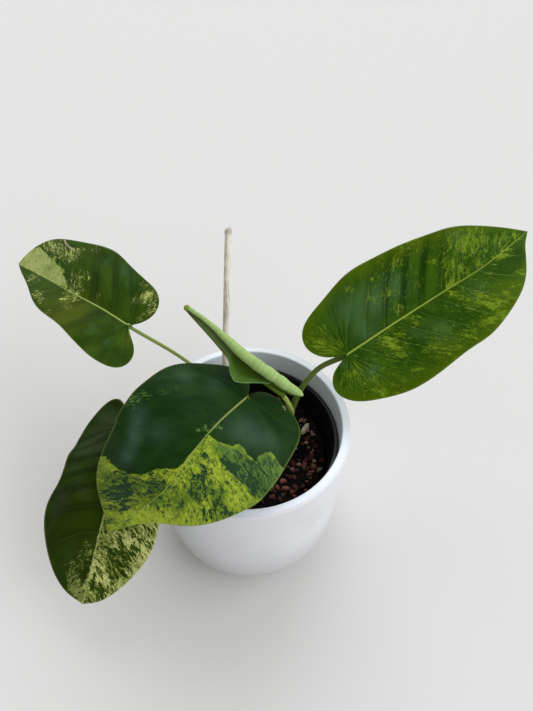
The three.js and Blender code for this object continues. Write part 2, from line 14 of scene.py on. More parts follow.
import bpy
import numpy as np
from mathutils import Matrix, Vector

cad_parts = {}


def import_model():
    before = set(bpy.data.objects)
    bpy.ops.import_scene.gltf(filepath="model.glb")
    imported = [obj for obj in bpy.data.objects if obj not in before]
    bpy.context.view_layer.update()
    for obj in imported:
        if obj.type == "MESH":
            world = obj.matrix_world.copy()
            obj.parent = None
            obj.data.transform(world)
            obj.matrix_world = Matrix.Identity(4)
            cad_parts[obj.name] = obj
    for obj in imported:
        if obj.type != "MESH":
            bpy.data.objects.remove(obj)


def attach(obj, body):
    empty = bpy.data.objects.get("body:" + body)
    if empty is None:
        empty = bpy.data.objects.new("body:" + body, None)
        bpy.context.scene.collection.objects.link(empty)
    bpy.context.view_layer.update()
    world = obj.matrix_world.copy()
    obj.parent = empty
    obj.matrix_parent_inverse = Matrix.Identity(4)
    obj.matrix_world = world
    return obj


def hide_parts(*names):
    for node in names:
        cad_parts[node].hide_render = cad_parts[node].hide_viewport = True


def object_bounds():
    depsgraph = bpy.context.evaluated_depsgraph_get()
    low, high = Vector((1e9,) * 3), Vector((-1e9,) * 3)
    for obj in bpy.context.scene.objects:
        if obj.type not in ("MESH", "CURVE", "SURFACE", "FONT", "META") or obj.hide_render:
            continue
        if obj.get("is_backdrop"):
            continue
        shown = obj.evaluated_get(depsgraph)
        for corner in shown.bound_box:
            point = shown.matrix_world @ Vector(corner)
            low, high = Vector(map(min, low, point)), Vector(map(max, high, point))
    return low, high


LOG = logging.getLogger("homalomena")
MM = 0.001
ROOT = "root"
# Strength of the reflections of glaze, plastic and wood.
PLAIN_SHINE = 0.5
# Steps in a millimetre; points that fall on the same step are merged.
WELD_STEPS = 2e3

Colour = tuple[float, float, float]
Pair = tuple[float, float]
Pairs = tuple[Pair, ...]
Point = tuple[float, float, float]
Points = tuple[Point, ...]
Stations = tuple[tuple[float, float, float, float], ...]


class Slot(str, Enum):
    """Material slots of the record."""

    GLAZE = "white_glaze"
    PLASTIC = "black_plastic"
    MIX = "potting_mix"
    STAKE = "stake_wood"
    STALK = "stalk"
    LEAF = "leaf"
    NEW_LEAF = "new_leaf"


class Cast(Enum):
    """Kinds of colouring that lie on parts of a blade, each with the name of its value in the mesh."""

    PALE = "pale"
    ISLAND = "island"
    FLECK = "fleck"
    GREY = "grey"
    # Painted sheen: a bluish reflection painted into the colour.
    BLOOM = "painted_sheen"
    WARM = "warm"
    DARK = "dark"
    # Painted shade in the fold valleys.
    CREASE = "crease"
    BROWN = "brown"


class Stone(Enum):
    """Kinds of loose pieces in the potting mix, each with its colour."""

    LAVA = (154, 96, 80)
    DARK_LAVA = (80, 46, 38)
    BARK = (24, 17, 14)
    PINK = (176, 136, 118)
    PUMICE = (222, 212, 188)
    ASH = (112, 104, 88)
    CHARCOAL = (13, 12, 12)


def linear(red: float, green: float, blue: float) -> Colour:
    """Scene-linear colour from display values.

    Args:
        red: Red, 0 to 255.
        green: Green, 0 to 255.
        blue: Blue, 0 to 255.

    Returns:
        The three linear values.
    """
    share = np.array([red, green, blue]) / 255.0
    value = np.where(share <= 0.04045, share / 12.92, ((share + 0.055) / 1.055) ** 2.4)
    return tuple(float(v) for v in value)


def linked(name: str, data: Any) -> bpy.types.Object:
    """New object at the origin, linked to the scene."""
    made = bpy.data.objects.new(name, data)
    bpy.context.scene.collection.objects.link(made)
    return made


# Curves and surfaces


def catmull_rom(points: np.ndarray, share: np.ndarray) -> tuple[np.ndarray, np.ndarray]:
    """Evenly timed Catmull-Rom curve; past its ends it runs straight on.

    Each stretch is the cubic through its two points whose slope at a point is half the step
    between that point's neighbours, and the missing outer neighbours mirror the inner ones.

    Args:
        points: Control points, one per row.
        share: Places along the curve, 0 at the first point and 1 at the last.

    Returns:
        Positions and their derivatives by share.
    """
    points = np.asarray(points, float)
    spans = len(points) - 1
    padded = np.vstack([2 * points[0] - points[1], points, 2 * points[-1] - points[-2]])
    inside = np.clip(share, 0, 1)
    first = np.minimum((inside * spans).astype(int), spans - 1)
    local = (inside * spans - first)[..., None]
    a, b, c, d = (padded[first + k] for k in range(4))
    square = 2 * a - 5 * b + 4 * c - d
    cube = 3 * b - a - 3 * c + d
    position = 0.5 * (2 * b + (c - a) * local + square * local**2 + cube * local**3)
    speed = 0.5 * ((c - a) + 2 * square * local + 3 * cube * local**2) * spans
    return position + speed * (share - inside)[..., None], speed


def even_shares(points: np.ndarray, count: int, samples: int = 2400) -> tuple[np.ndarray, float]:
    """Shares of a Catmull-Rom curve that lie evenly along its length.

    Args:
        points: Control points.
        count: How many places, both ends included.
        samples: Steps used to measure the length.

    Returns:
        The shares, and the curve's length.
    """
    fine = np.linspace(0, 1, samples)
    steps = np.linalg.norm(np.diff(catmull_rom(points, fine)[0], axis=0), axis=1)
    travelled = np.concatenate([[0], np.cumsum(steps)])
    return np.interp(np.linspace(0, travelled[-1], count), travelled, fine), float(travelled[-1])


def unit(vectors: np.ndarray) -> np.ndarray:
    """The vectors at length one."""
    return vectors / np.maximum(np.linalg.norm(vectors, axis=-1, keepdims=True), 1e-12)


def smoothstep(value: np.ndarray, low: float, high: float) -> np.ndarray:
    """Ease from 0 at low to 1 at high: three squares minus two cubes of the share between them."""
    share = np.clip((value - low) / (high - low), 0, 1)
    return share * share * (3 - 2 * share)


def value_noise(x: np.ndarray, y: np.ndarray, seed: int, cells: int = 64) -> np.ndarray:
    """Smooth noise from -1 to 1: random heights on a unit lattice, eased between its corners.

    Args:
        x: First coordinate, in lattice cells.
        y: Second coordinate.
        seed: Start of the draw.
        cells: Cells along each side of the lattice, which repeats.

    Returns:
        One value per place.
    """
    lattice = np.random.default_rng(seed).uniform(-1, 1, (cells, cells))
    left, low = np.floor(x).astype(int), np.floor(y).astype(int)
    u, v = smoothstep(x - left, 0, 1), smoothstep(y - low, 0, 1)
    lower, upper = (
        lattice[left % cells, row % cells] * (1 - u) + lattice[(left + 1) % cells, row % cells] * u
        for row in (low, low + 1)
    )
    return lower * (1 - v) + upper * v


def grid_quads(rows: int, columns: int, first: int = 0, wrap: bool = False) -> np.ndarray:
    """Four-cornered faces of a grid that is stored row by row.

    Args:
        rows: Number of rows of points.
        columns: Number of points in a row.
        first: Index of the first point.
        wrap: Whether the last column joins the first.

    Returns:
        Corner indices, one face per row.
    """
    index = first + np.arange(rows * columns).reshape(rows, columns)
    if wrap:
        index = np.hstack([index, index[:, :1]])
    return np.stack([index[:-1, :-1], index[:-1, 1:], index[1:, 1:], index[1:, :-1]], -1).reshape(-1, 4)


def signed_distance(x: np.ndarray, y: np.ndarray, outline: Pairs) -> np.ndarray:
    """Distance to a closed outline, positive inside.

    The nearest point of each edge gives the distance, and the parity of edges crossed by a ray
    gives the side.

    Args:
        x: First coordinates.
        y: Second coordinates.
        outline: Corners in order.

    Returns:
        One distance per place.
    """
    nearest = np.full(x.shape, np.inf)
    inside = np.zeros(x.shape, bool)
    for (ax, ay), (bx, by) in zip(outline, outline[1:] + outline[:1]):
        ex, ey = bx - ax, by - ay
        along = np.clip(((x - ax) * ex + (y - ay) * ey) / max(ex * ex + ey * ey, 1e-9), 0, 1)
        nearest = np.minimum(nearest, np.hypot(x - ax - along * ex, y - ay - along * ey))
        if ey:
            inside ^= ((ay > y) != (by > y)) & (x < ex * (y - ay) / ey + ax)
    return np.where(inside, nearest, -nearest)


@dataclass
class Skin:
    """Points, faces and per-point values of one surface.

    Attributes:
        points: Positions in millimetres, one per row.
        faces: Corner indices; a face with three corners repeats its last one.
        values: Named values per point.
        uv: Two surface coordinates per point.
    """

    points: np.ndarray
    faces: np.ndarray
    values: dict[str, np.ndarray] = field(default_factory=dict)
    uv: np.ndarray | None = None

    def welded(self) -> "Skin":
        """Merges points that coincide and drops the faces that this leaves without area."""
        keys = np.round(self.points * WELD_STEPS).astype(np.int64)
        _, first, inverse = np.unique(keys, axis=0, return_index=True, return_inverse=True)
        faces = inverse.reshape(-1)[self.faces]
        for k in range(4):
            same = faces[:, k] == faces[:, (k + 1) % 4]
            rolled = np.roll(faces[same], -(k + 1), axis=1)
            faces[same] = np.column_stack([rolled[:, :3], rolled[:, 2]])
        a, b, c = faces[:, 0], faces[:, 1], faces[:, 2]
        faces = faces[(a != b) & (b != c) & (c != a)]
        values = {name: value[first] for name, value in self.values.items()}
        uv = None if self.uv is None else self.uv[first]
        return Skin(self.points[first], faces, values, uv)

    def normals(self) -> np.ndarray:
        """Unit normals per point, weighted by the area of the faces round it."""
        a, b, c, d = (self.points[self.faces[:, k]] for k in range(4))
        face_normal = np.cross(c - a, d - b)
        total = np.zeros_like(self.points)
        for k in range(4):
            np.add.at(total, self.faces[:, k], face_normal)
        return unit(total)

    def volume(self) -> float:
        """Signed volume: a sixth of the sum of the corners' triple products."""
        a, b, c, d = (self.points[self.faces[:, k]] for k in range(4))
        return float((np.cross(a, b) * c).sum() + (np.cross(a, c) * d).sum()) / 6

    def outward(self) -> "Skin":
        """The same closed surface with its faces turned outwards."""
        if self.volume() < 0:
            self.faces = self.faces[:, ::-1].copy()
        return self

    def thickened(self, above: np.ndarray, below: np.ndarray, bulge: float) -> "Skin":
        """Closes an open sheet into a thin solid with a rounded border.

        Points move along their normals by above and, for the other face, against them by below.
        A middle row of points, pushed out by bulge, joins both faces at the border.

        Args:
            above: How far the upper face lies from the sheet.
            below: How far the lower face lies from it.
            bulge: How far the border stands out.

        Returns:
            The closed surface, with the value "under" set to 1 on the lower face.
        """
        count = len(self.points)
        normal = self.normals()
        three = (self.faces[:, 2] == self.faces[:, 3])[:, None]
        corners = np.where(three, self.faces[:, [0, 1, 2, 0]], self.faces)
        start = corners.reshape(-1)
        end = np.roll(corners, -1, axis=1).reshape(-1)
        real = start != end
        start, end = start[real], end[real]
        twin = np.isin(start * count + end, end * count + start)
        start, end = start[~twin], end[~twin]
        border, place = np.unique(np.concatenate([start, end]), return_inverse=True)
        a, b = place[: len(start)], place[len(start):]
        outwards = np.zeros((len(border), 3))
        edge_out = np.cross(self.points[end] - self.points[start], normal[start])
        np.add.at(outwards, a, edge_out)
        np.add.at(outwards, b, edge_out)
        middle = self.points[border] + bulge * unit(outwards)
        upper, lower = self.points + normal * above[:, None], self.points - normal * below[:, None]
        rim = 2 * count
        walls = np.vstack([
            np.column_stack([end, start, rim + a, rim + b]),
            np.column_stack([rim + b, rim + a, start + count, end + count]),
        ])
        faces = np.vstack([self.faces, self.faces[:, ::-1] + count, walls])
        values = {name: np.concatenate([v, v, v[border]]) for name, v in self.values.items()}
        values["under"] = np.repeat([0.0, 1.0, 0.5], [count, count, len(border)])
        uv = np.vstack([self.uv, self.uv, self.uv[border]])
        return Skin(np.vstack([upper, lower, middle]), faces, values, uv).outward()

    def marked(self, key: str) -> "Skin":
        """The same surface with one value, which is 1 all over."""
        self.values = {key: np.ones(len(self.points))}
        return self

    def built(self, name: str, material: bpy.types.Material, crease: float = 55.0) -> bpy.types.Object:
        """Puts the surface into a mesh object at the origin.

        Args:
            name: Name of the object.
            material: Its finish.
            crease: Faces that meet at more than this many degrees keep a sharp edge.

        Returns:
            The object, linked to the scene.
        """
        three = self.faces[:, 2] == self.faces[:, 3]
        faces = self.faces[~three].tolist() + self.faces[three][:, :3].tolist()
        mesh = bpy.data.meshes.new(name)
        mesh.from_pydata((self.points * MM).tolist(), [], faces)
        for key, value in self.values.items():
            flat = value.ndim == 1
            layer = mesh.attributes.new(key, "FLOAT" if flat else "FLOAT_COLOR", "POINT")
            data = value if flat else np.column_stack([value, np.ones(len(value))])
            layer.data.foreach_set("value" if flat else "color", data.astype(np.float32).ravel())
        if self.uv is not None:
            corner = np.empty(len(mesh.loops), np.int32)
            mesh.loops.foreach_get("vertex_index", corner)
            layer = mesh.uv_layers.new(name="surface")
            layer.data.foreach_set("uv", self.uv[corner].astype(np.float32).ravel())
        mesh.polygons.foreach_set("use_smooth", np.ones(len(mesh.polygons), bool))
        mesh.update()
        mesh.set_sharp_from_angle(angle=math.radians(crease))
        mesh.materials.append(material)
        return linked(name, mesh)


def joined(skins: Sequence[Skin]) -> Skin:
    """One skin that holds all the given ones; a value that one of them lacks is 0 there."""
    starts = np.cumsum([0] + [len(skin.points) for skin in skins[:-1]])
    keys = {key: None for skin in skins for key in skin.values}
    blank = [np.zeros(len(skin.points)) for skin in skins]
    values = {key: np.concatenate([s.values.get(key, zero) for s, zero in zip(skins, blank)]) for key in keys}
    faces = np.vstack([skin.faces + start for skin, start in zip(skins, starts)])
    return Skin(np.vstack([s.points for s in skins]), faces, values, np.vstack([s.uv for s in skins]))


def turned(profile: Sequence[Pair], sides: int, round_cm: float = 7.5) -> Skin:
    """Surface of revolution about +Z: each profile pair is a radius and a height.

    Args:
        profile: The section, from axis to axis.
        sides: Steps round the axis.
        round_cm: Centimetres of the pattern for each radian.

    Returns:
        The closed surface; uv holds the turn and the length along the profile, in centimetres.
    """
    section = np.array(profile, float)
    angle = np.linspace(0, 2 * np.pi, sides, endpoint=False)
    radius, height = section[:, :1], np.repeat(section[:, 1:], sides, axis=1)
    points = np.stack([radius * np.cos(angle), radius * np.sin(angle), height], -1)
    travelled = np.concatenate([[0], np.cumsum(np.linalg.norm(np.diff(section, axis=0), axis=1))])
    uv = np.stack(np.broadcast_arrays(angle[None, :] * round_cm, travelled[:, None] / 10), -1)
    skin = Skin(points.reshape(-1, 3), grid_quads(len(section), sides, wrap=True), uv=uv.reshape(-1, 2))
    return skin.welded().outward()


def arc(centre: Pair, radius: float, start: float, end: float, steps: int) -> list[Pair]:
    """Points of a circle in a profile.

    Args:
        centre: Its radius and height.
        radius: Radius of the circle.
        start: First angle, in degrees from outwards.
        end: Last angle.
        steps: Number of steps.

    Returns:
        Radius and height pairs, both ends included.
    """
    angle = np.radians(np.linspace(start, end, steps + 1))
    return list(zip(centre[0] + radius * np.cos(angle), centre[1] + radius * np.sin(angle)))


def tube(path: np.ndarray, radius: Callable, rings: int, sides: int, round_cm: float = 0.3) -> Skin:
    """Round body along a curve, with closed ends.

    A ring of points stands square to the curve at each step. Both its axes come from the direction
    that the curve turns towards least, so that they never twist.

    Args:
        path: Control points of the centre line.
        radius: Radius by share of length and angle.
        rings: Steps along the curve.
        sides: Points in a ring.
        round_cm: Centimetres of the pattern for each radian.

    Returns:
        The closed surface, with uv in centimetres round and along it.
    """
    shares, length = even_shares(path, rings + 1)
    centre, speed = catmull_rom(path, shares)
    forward = unit(speed)
    least = np.linalg.svd(forward)[2][-1]
    first = unit(np.cross(np.broadcast_to(least, forward.shape), forward))
    second = np.cross(forward, first)
    travelled = np.linspace(0, 1, rings + 1)[:, None]
    angle = np.linspace(0, 2 * np.pi, sides, endpoint=False)[None, :]
    reach = radius(travelled, angle) * np.ones_like(travelled + angle)
    ring = first[:, None] * (reach * np.cos(angle))[..., None]
    body = centre[:, None] + ring + second[:, None] * (reach * np.sin(angle))[..., None]
    ends = np.repeat(centre[[0, -1]], sides, axis=0)
    points = np.vstack([ends[:sides], body.reshape(-1, 3), ends[sides:]])
    along = np.concatenate([[0], travelled[:, 0], [1]]) * length / 10
    uv = np.stack(np.broadcast_arrays(angle * round_cm, along[:, None]), -1)
    skin = Skin(points, grid_quads(rings + 3, sides, wrap=True), uv=uv.reshape(-1, 2))
    return skin.welded().outward()


# Shading


@dataclass
class Net:
    """Wires the nodes of one tree.

    Attributes:
        tree: The node tree.
    """

    tree: bpy.types.NodeTree

    def feed(self, socket: bpy.types.NodeSocket, value: Any) -> None:
        """Links a socket to the value, or sets it; a colour is given by its display values."""
        if isinstance(value, bpy.types.NodeSocket):
            self.tree.links.new(value, socket)
        else:
            socket.default_value = (*linear(*value), 1.0) if socket.type == "RGBA" else value

    def node(self, kind: str, inputs: dict[Any, Any] | None = None, **settings: Any) -> bpy.types.Node:
        """Adds a node.

        Args:
            kind: Its Blender type.
            inputs: Input names or numbers, with what feeds them.
            settings: Properties of the node.

        Returns:
            The node.
        """
        made = self.tree.nodes.new(kind)
        for key, value in settings.items():
            setattr(made, key, value)
        for key, value in (inputs or {}).items():
            self.feed(made.inputs[key], value)
        return made

    def maths(self, operation: str, a: Any, b: Any = 0.0, clamp: bool = False) -> bpy.types.NodeSocket:
        """Result of a Math node."""
        return self.node("ShaderNodeMath", {0: a, 1: b}, operation=operation, use_clamp=clamp).outputs[0]

    def times(self, *factors: Any) -> bpy.types.NodeSocket:
        """Product of the values."""
        return reduce(lambda a, b: self.maths("MULTIPLY", a, b), factors)

    def plus(self, a: Any, b: Any) -> bpy.types.NodeSocket:
        """Sum of two values."""
        return self.maths("ADD", a, b)

    def ramp(self, value: Any, low: Any, high: Any, start: float = 0.0, end: float = 1.0) -> Any:
        """Value eased from start at low to end at high."""
        inputs = {"Value": value, "From Min": low, "From Max": high, "To Min": start, "To Max": end}
        return self.node("ShaderNodeMapRange", inputs, interpolation_type="SMOOTHSTEP").outputs[0]

    def blend(self, share: Any, a: Any, b: Any) -> bpy.types.NodeSocket:
        """Colour a, changed to colour b by the share."""
        mix = self.node("ShaderNodeMix", {0: share, 6: a, 7: b}, data_type="RGBA", clamp_factor=True)
        return mix.outputs[2]

    def layered(self, colour: Any, *coats: tuple[Any, Any]) -> bpy.types.NodeSocket:
        """The colour under coats, each a share and the colour that it changes towards."""
        return reduce(lambda below, coat: self.blend(coat[0], below, coat[1]), coats, colour)

    def vector(self, x: Any, y: Any, z: Any) -> bpy.types.NodeSocket:
        """Vector of three values."""
        return self.node("ShaderNodeCombineXYZ", {0: x, 1: y, 2: z}).outputs[0]

    def parts(self, vector: Any) -> Sequence[bpy.types.NodeSocket]:
        """The three values of a vector."""
        return self.node("ShaderNodeSeparateXYZ", {0: vector}).outputs

    def noise(
        self, place: Any, scale: Any, detail: float = 3.0, rough: float = 0.55, warp: float = 0.0
    ) -> bpy.types.NodeSocket:
        """Noise around a half; a scale of three values stretches it along each axis."""
        if isinstance(scale, tuple):
            place, scale = self.node("ShaderNodeMapping", {"Vector": place, "Scale": scale}).outputs[0], 1.0
        inputs = {"Vector": place, "Scale": scale, "Detail": detail, "Roughness": rough, "Distortion": warp}
        return self.node("ShaderNodeTexNoise", inputs).outputs[0]

    def value(self, name: str) -> bpy.types.NodeSocket:
        """A value that the mesh holds per point."""
        return self.node("ShaderNodeAttribute", attribute_name=name).outputs["Fac"]

    def place(self, name: str = "Object") -> bpy.types.NodeSocket:
        """Coordinates of the piece: Object or UV."""
        return self.node("ShaderNodeTexCoord").outputs[name]

    def group(self, tree: bpy.types.NodeTree, **inputs: Any) -> Any:
        """Places a shared effect and gives its outputs."""
        return self.node("ShaderNodeGroup", inputs, node_tree=tree).outputs


@dataclass
class Paint(Net):
    """Wires one material.

    Attributes:
        material: The material.
        shader: Its Principled BSDF.
    """

    material: bpy.types.Material
    shader: bpy.types.Node

    @classmethod
    def started(cls, name: str) -> "Paint":
        """Starts a material of this name."""
        material = bpy.data.materials.new(name)
        material.use_nodes = True
        tree = material.node_tree
        return cls(tree, material, next(n for n in tree.nodes if n.type == "BSDF_PRINCIPLED"))

    def finished(
        self, colour: Any, rough: Any, shine: float, relief: Any = None, *size: float
    ) -> bpy.types.Material:
        """Feeds the shader.

        Args:
            colour: Base colour.
            rough: Roughness.
            shine: Strength of the reflections.
            relief: Height of the surface's relief, if it has any.
            size: How much of the relief shows, and its height in metres.

        Returns:
            The material.
        """
        for key, value in (("Base Color", colour), ("Roughness", rough), ("Specular IOR Level", shine)):
            self.feed(self.shader.inputs[key], value)
        if relief is not None:
            inputs = {"Height": relief, "Strength": size[0], "Distance": size[1]}
            self.feed(self.shader.inputs["Normal"], self.node("ShaderNodeBump", inputs).outputs[0])
        return self.material


def new_group(name: str, inputs: dict[str, float | None], outputs: Sequence[str]) -> tuple[Net, Any, Any]:
    """Starts a shared effect.

    Args:
        name: Name of the node group.
        inputs: Input names with their usual values; None makes a vector input.
        outputs: Names of the outputs, which are numbers.

    Returns:
        The wiring hand, the sockets that the group is given and those of its result.
    """
    tree = bpy.data.node_groups.new(name, "ShaderNodeTree")
    for key, value in inputs.items():
        kind = "NodeSocketVector" if value is None else "NodeSocketFloat"
        socket = tree.interface.new_socket(key, in_out="INPUT", socket_type=kind)
        if value is not None:
            socket.default_value = value
    for key in outputs:
        tree.interface.new_socket(key, in_out="OUTPUT", socket_type="NodeSocketFloat")
    return Net(tree), tree.nodes.new("NodeGroupInput").outputs, tree.nodes.new("NodeGroupOutput").inputs


def marbling_group() -> bpy.types.NodeTree:
    """Blotches drawn out along the side veins.

    A broad and a fine noise are read with the coordinate across the veins scaled more than the one
    along them. A blotch shows where their weighted sum, spread over 0 to 1, passes one less the
    density, and its halo a little before that.
    """
    where = {"Across": 0.0, "Along": 0.0, "Density": 0.5}
    form = {"Fine": 5.0, "Long": 2.0, "Seed": 0.0, "Edge": 0.07}
    net, get, result = new_group("vein_marbling", where | form, ["Mask", "Halo"])
    broad_share = 0.58
    across, along = net.times(get["Across"], get["Fine"]), net.times(get["Along"], get["Long"])
    place = net.vector(across, along, get["Seed"])
    broad = net.times(net.noise(place, 0.7, 3.0, 0.6, 0.5), broad_share)
    fine = net.times(net.noise(place, 2.6, 3.0, 0.65, 0.3), 1 - broad_share)
    height = net.maths("SUBTRACT", net.plus(net.ramp(net.plus(broad, fine), 0.33, 0.67), get["Density"]), 1.0)
    edge = net.ramp(height, net.times(get["Edge"], -1.0), get["Edge"])
    net.feed(result["Mask"], net.times(edge, net.ramp(get["Density"], 0.0, 0.1)))
    net.feed(result["Halo"], net.times(net.ramp(height, -0.34, 0.06), net.ramp(get["Density"], 0.02, 0.3)))
    return net.tree


def vein_group() -> bpy.types.NodeTree:
    """Thin lines along the side veins, which run where the phase is a whole number."""
    net, get, result = new_group("side_vein_line", {"Phase": 0.0, "Width": 0.06}, ["Line", "Valley"])
    turn = net.maths("SUBTRACT", net.maths("FRACT", net.plus(get["Phase"], 0.5)), 0.5)
    away = net.maths("ABSOLUTE", turn)
    net.feed(result["Line"], net.ramp(away, 0.0, get["Width"], 1.0, 0.0))
    net.feed(result["Valley"], net.ramp(away, 0.0, 0.5))
    return net.tree


def grain_group() -> bpy.types.NodeTree:
    """Fine surface grain: the mean of two noises of different size, as a height about a half."""
    net, get, result = new_group("fine_grain", {"Place": None, "Size": 100.0}, ["Height"])
    small = net.noise(get["Place"], get["Size"], 3.0, 0.6)
    large = net.noise(get["Place"], net.times(get["Size"], 0.23), 2.0)
    net.feed(result["Height"], net.times(net.plus(small, large), 0.5))
    return net.tree


@dataclass(frozen=True)
class Effects:
    """Shared node groups, each built once."""

    marbling: bpy.types.NodeTree = field(default_factory=marbling_group)
    vein: bpy.types.NodeTree = field(default_factory=vein_group)
    grain: bpy.types.NodeTree = field(default_factory=grain_group)


@dataclass(frozen=True)
class LeafFinish:
    """Finish of an open blade.

    Attributes:
        name: Name of the material.
        deep: Darkest green.
        fresh: Lighter green between the side veins.
        pale: Variegated colour.
        second_pale: Second tone of the variegation.
        island: Green left inside the variegation.
        vein: Colour of the side veins.
        midrib: Colour of the midrib.
        margin: Colour of the thin edge.
        under: Colour of the lower face.
        painted_sheen: Painted sheen: the bluish reflection of the upper face, painted into its colour.
        warm: Yellow-brown cast.
        grey: Grey-green of pale wedges.
        fleck: Colour of the finest specks.
        vein_strength: How much the side veins show, and the painted shade in the valleys along them.
        across: Blotches per centimetre across the veins.
        along: Blotches per centimetre along the veins.
        shine: Strength of the upper face's reflections.
        seed: Start of the pattern.
        mottle: How much fine fresh green shows in the deep green.
        halo: How much a blotch tints the green round it.
        roughness: Roughness of the upper face.
        scar: Colour of scratches.
        dry: Colour of dead spots.
    """

    name: str
    deep: Colour
    fresh: Colour
    pale: Colour
    second_pale: Colour
    island: Colour
    vein: Colour
    midrib: Colour
    margin: Colour
    under: Colour
    painted_sheen: Colour
    warm: Colour
    grey: Colour
    fleck: Colour
    vein_strength: float
    across: float
    along: float
    shine: float
    seed: float
    mottle: float = 0.4
    halo: float = 0.4
    roughness: float = 0.42
    scar: Colour = (190, 176, 150)
    dry: Colour = (90, 70, 46)

    def material(self, effects: Effects) -> bpy.types.Material:
        """Builds the material.

        Coats of colour lie on one another by the values that the blade holds: the casts, painted sheen
        among them, and painted shade in the creases and along the side veins on the green, the islands
        on the variegation, both together below flecks, veins, margin and scars.
        The lower face keeps a plain green.

        Args:
            effects: Shared node groups.

        Returns:
            The material.
        """
        net = Paint.started(self.name)
        times, plus, ramp, value = net.times, net.plus, net.ramp, net.value
        across, along = net.parts(net.place("UV"))[:2]

        def marbled(cast: Cast, seed: float, fine: float, long: float, edge: float = 0.07) -> Any:
            """Mask and halo of the blotches of one cast."""
            return net.group(effects.marbling, Across=across, Along=along, Density=value(cast.value),
                             Seed=self.seed + seed, Fine=fine, Long=long, Edge=edge)

        marks = marbled(Cast.PALE, 0.0, self.across, self.along)
        islands = marbled(Cast.ISLAND, 7.3, self.across, self.along * 0.75)
        flecks = marbled(Cast.FLECK, 4.9, 10.0, 5.5, 0.12)
        grain = net.noise(net.vector(times(across, 8.5), times(along, 4.2), self.seed), 1.0, 4.0, 0.72)
        lines = net.noise(net.vector(times(across, 9.0), along, self.seed + 6.0), 1.0, 3.0, 0.6)
        tone = net.noise(net.vector(across, along, self.seed + 3.1), 0.55, 3.0, 0.6)
        veins = net.group(effects.vein, Phase=value("phase"), Width=0.026)
        # The crease value marks where shade is painted into the fold valleys.
        crease, fold = value(Cast.CREASE.value), veins["Valley"]
        body = net.layered(
            self.deep,
            (ramp(tone, 0.35, 0.68), self.fresh),
            (ramp(grain, 0.42, 0.64, 0.0, self.mottle), self.fresh),
            # Painted shade in the valleys along the side veins, scaled by vein_strength.
            (times(ramp(fold, 0.0, 1.0, 1.0, 0.0), self.vein_strength * 0.7), self.deep),
            (ramp(lines, 0.5, 0.7, 0.0, 0.35), self.fresh),
            (value(Cast.WARM.value), self.warm),
            # Painted sheen: a bluish reflection painted in streaks where the mesh's value is set.
            (times(value(Cast.BLOOM.value), ramp(lines, 0.3, 0.65, 0.75, 1.05)), self.painted_sheen),
            (value(Cast.DARK.value), self.deep),
            # Painted shade: half the deep green in the creased valleys.
            (times(crease, ramp(fold, 0.05, 0.55, 0.8, 0.0)), net.blend(0.5, self.deep, (0, 0, 0))),
        )
        pale = net.layered(
            self.second_pale,
            (ramp(plus(grain, tone), 0.82, 1.2), self.pale),
            (times(value(Cast.GREY.value), ramp(plus(grain, lines), 0.8, 1.25, 1.0, 0.7)), self.grey),
            (times(islands["Halo"], 0.45), self.island),
            (times(islands["Mask"], ramp(grain, 0.3, 0.5, 0.6, 1.0)), self.island),
        )
        smooth = net.maths("SUBTRACT", 1.0, crease, clamp=True)
        lower = net.layered(self.under, (times(marks["Mask"], 0.55), pale), (value("rib"), self.midrib))
        colour = net.layered(
            body,
            (times(marks["Halo"], self.halo), self.second_pale),
            (marks["Mask"], pale),
            (times(flecks["Mask"], 0.75), self.fleck),
            (times(value("vein"), smooth, self.vein_strength, veins["Line"]), self.vein),
            (value("rib"), self.midrib),
            (times(value("rim"), 0.4), self.margin),
            (value("mark"), self.scar),
            (value(Cast.BROWN.value), self.dry),
            (ramp(value("under"), 0.6, 0.95), lower),
        )
        rough = ramp(grain, 0.3, 0.7, self.roughness - 0.06, self.roughness + 0.1)
        relief = net.maths("SUBTRACT", times(grain, 0.35), times(veins["Line"], 0.5))
        return net.finished(colour, rough, self.shine, relief, 0.5, 0.00025)


@dataclass(frozen=True)
class RolledFinish:
    """Finish of the rolled new leaf: pale lime outside with fine crosswise ridges, green inside."""

    outside: Colour = (163, 189, 122)
    # Painted shade in the hollows between the ridges.
    shade: Colour = (130, 160, 90)
    inside: Colour = (48, 76, 0)
    inside_late: Colour = (82, 102, 56)
    band: Colour = (70, 102, 34)
    band_late: Colour = (80, 114, 44)
    edge: Colour = (104, 142, 84)
    edge_late: Colour = (82, 78, 42)
    rib: Colour = (80, 102, 22)
    tip: Colour = (112, 132, 42)

    def material(self) -> bpy.types.Material:
        """Builds the material from the values outside, ridge, band, late, rim, rib and tip of the mesh."""
        net = Paint.started("rolled_new_leaf")
        uv, late, ramp, value = net.place("UV"), net.value("late"), net.ramp, net.value
        cross = net.noise(uv, (0.6, 4.5, 1.0), 3.0, 0.6)
        lines = net.noise(uv, (8.0, 0.5, 1.0))
        # Painted shade on the ridges: the outside darkens to shade in their hollows; the cross noise adds
        # random tone.
        ridge = net.plus(net.times(value("ridge"), 0.2), ramp(cross, 0.3, 0.7, 0.1, 0.6))
        near, far = net.blend(late, self.inside, self.inside_late), net.blend(late, self.band, self.band_late)
        colour = net.layered(
            net.blend(value("band"), near, far),
            (ramp(lines, 0.45, 0.75, 0.0, 0.2), self.band),
            (ramp(value("outside"), 0.35, 0.65), net.blend(ridge, self.shade, self.outside)),
            (value("rim"), net.blend(late, self.edge, self.edge_late)),
            (value("rib"), self.rib),
            (value("tip"), self.tip),
        )
        return net.finished(colour, ramp(cross, 0.3, 0.7, 0.42, 0.55), 0.12, cross, 0.4, 0.0004)


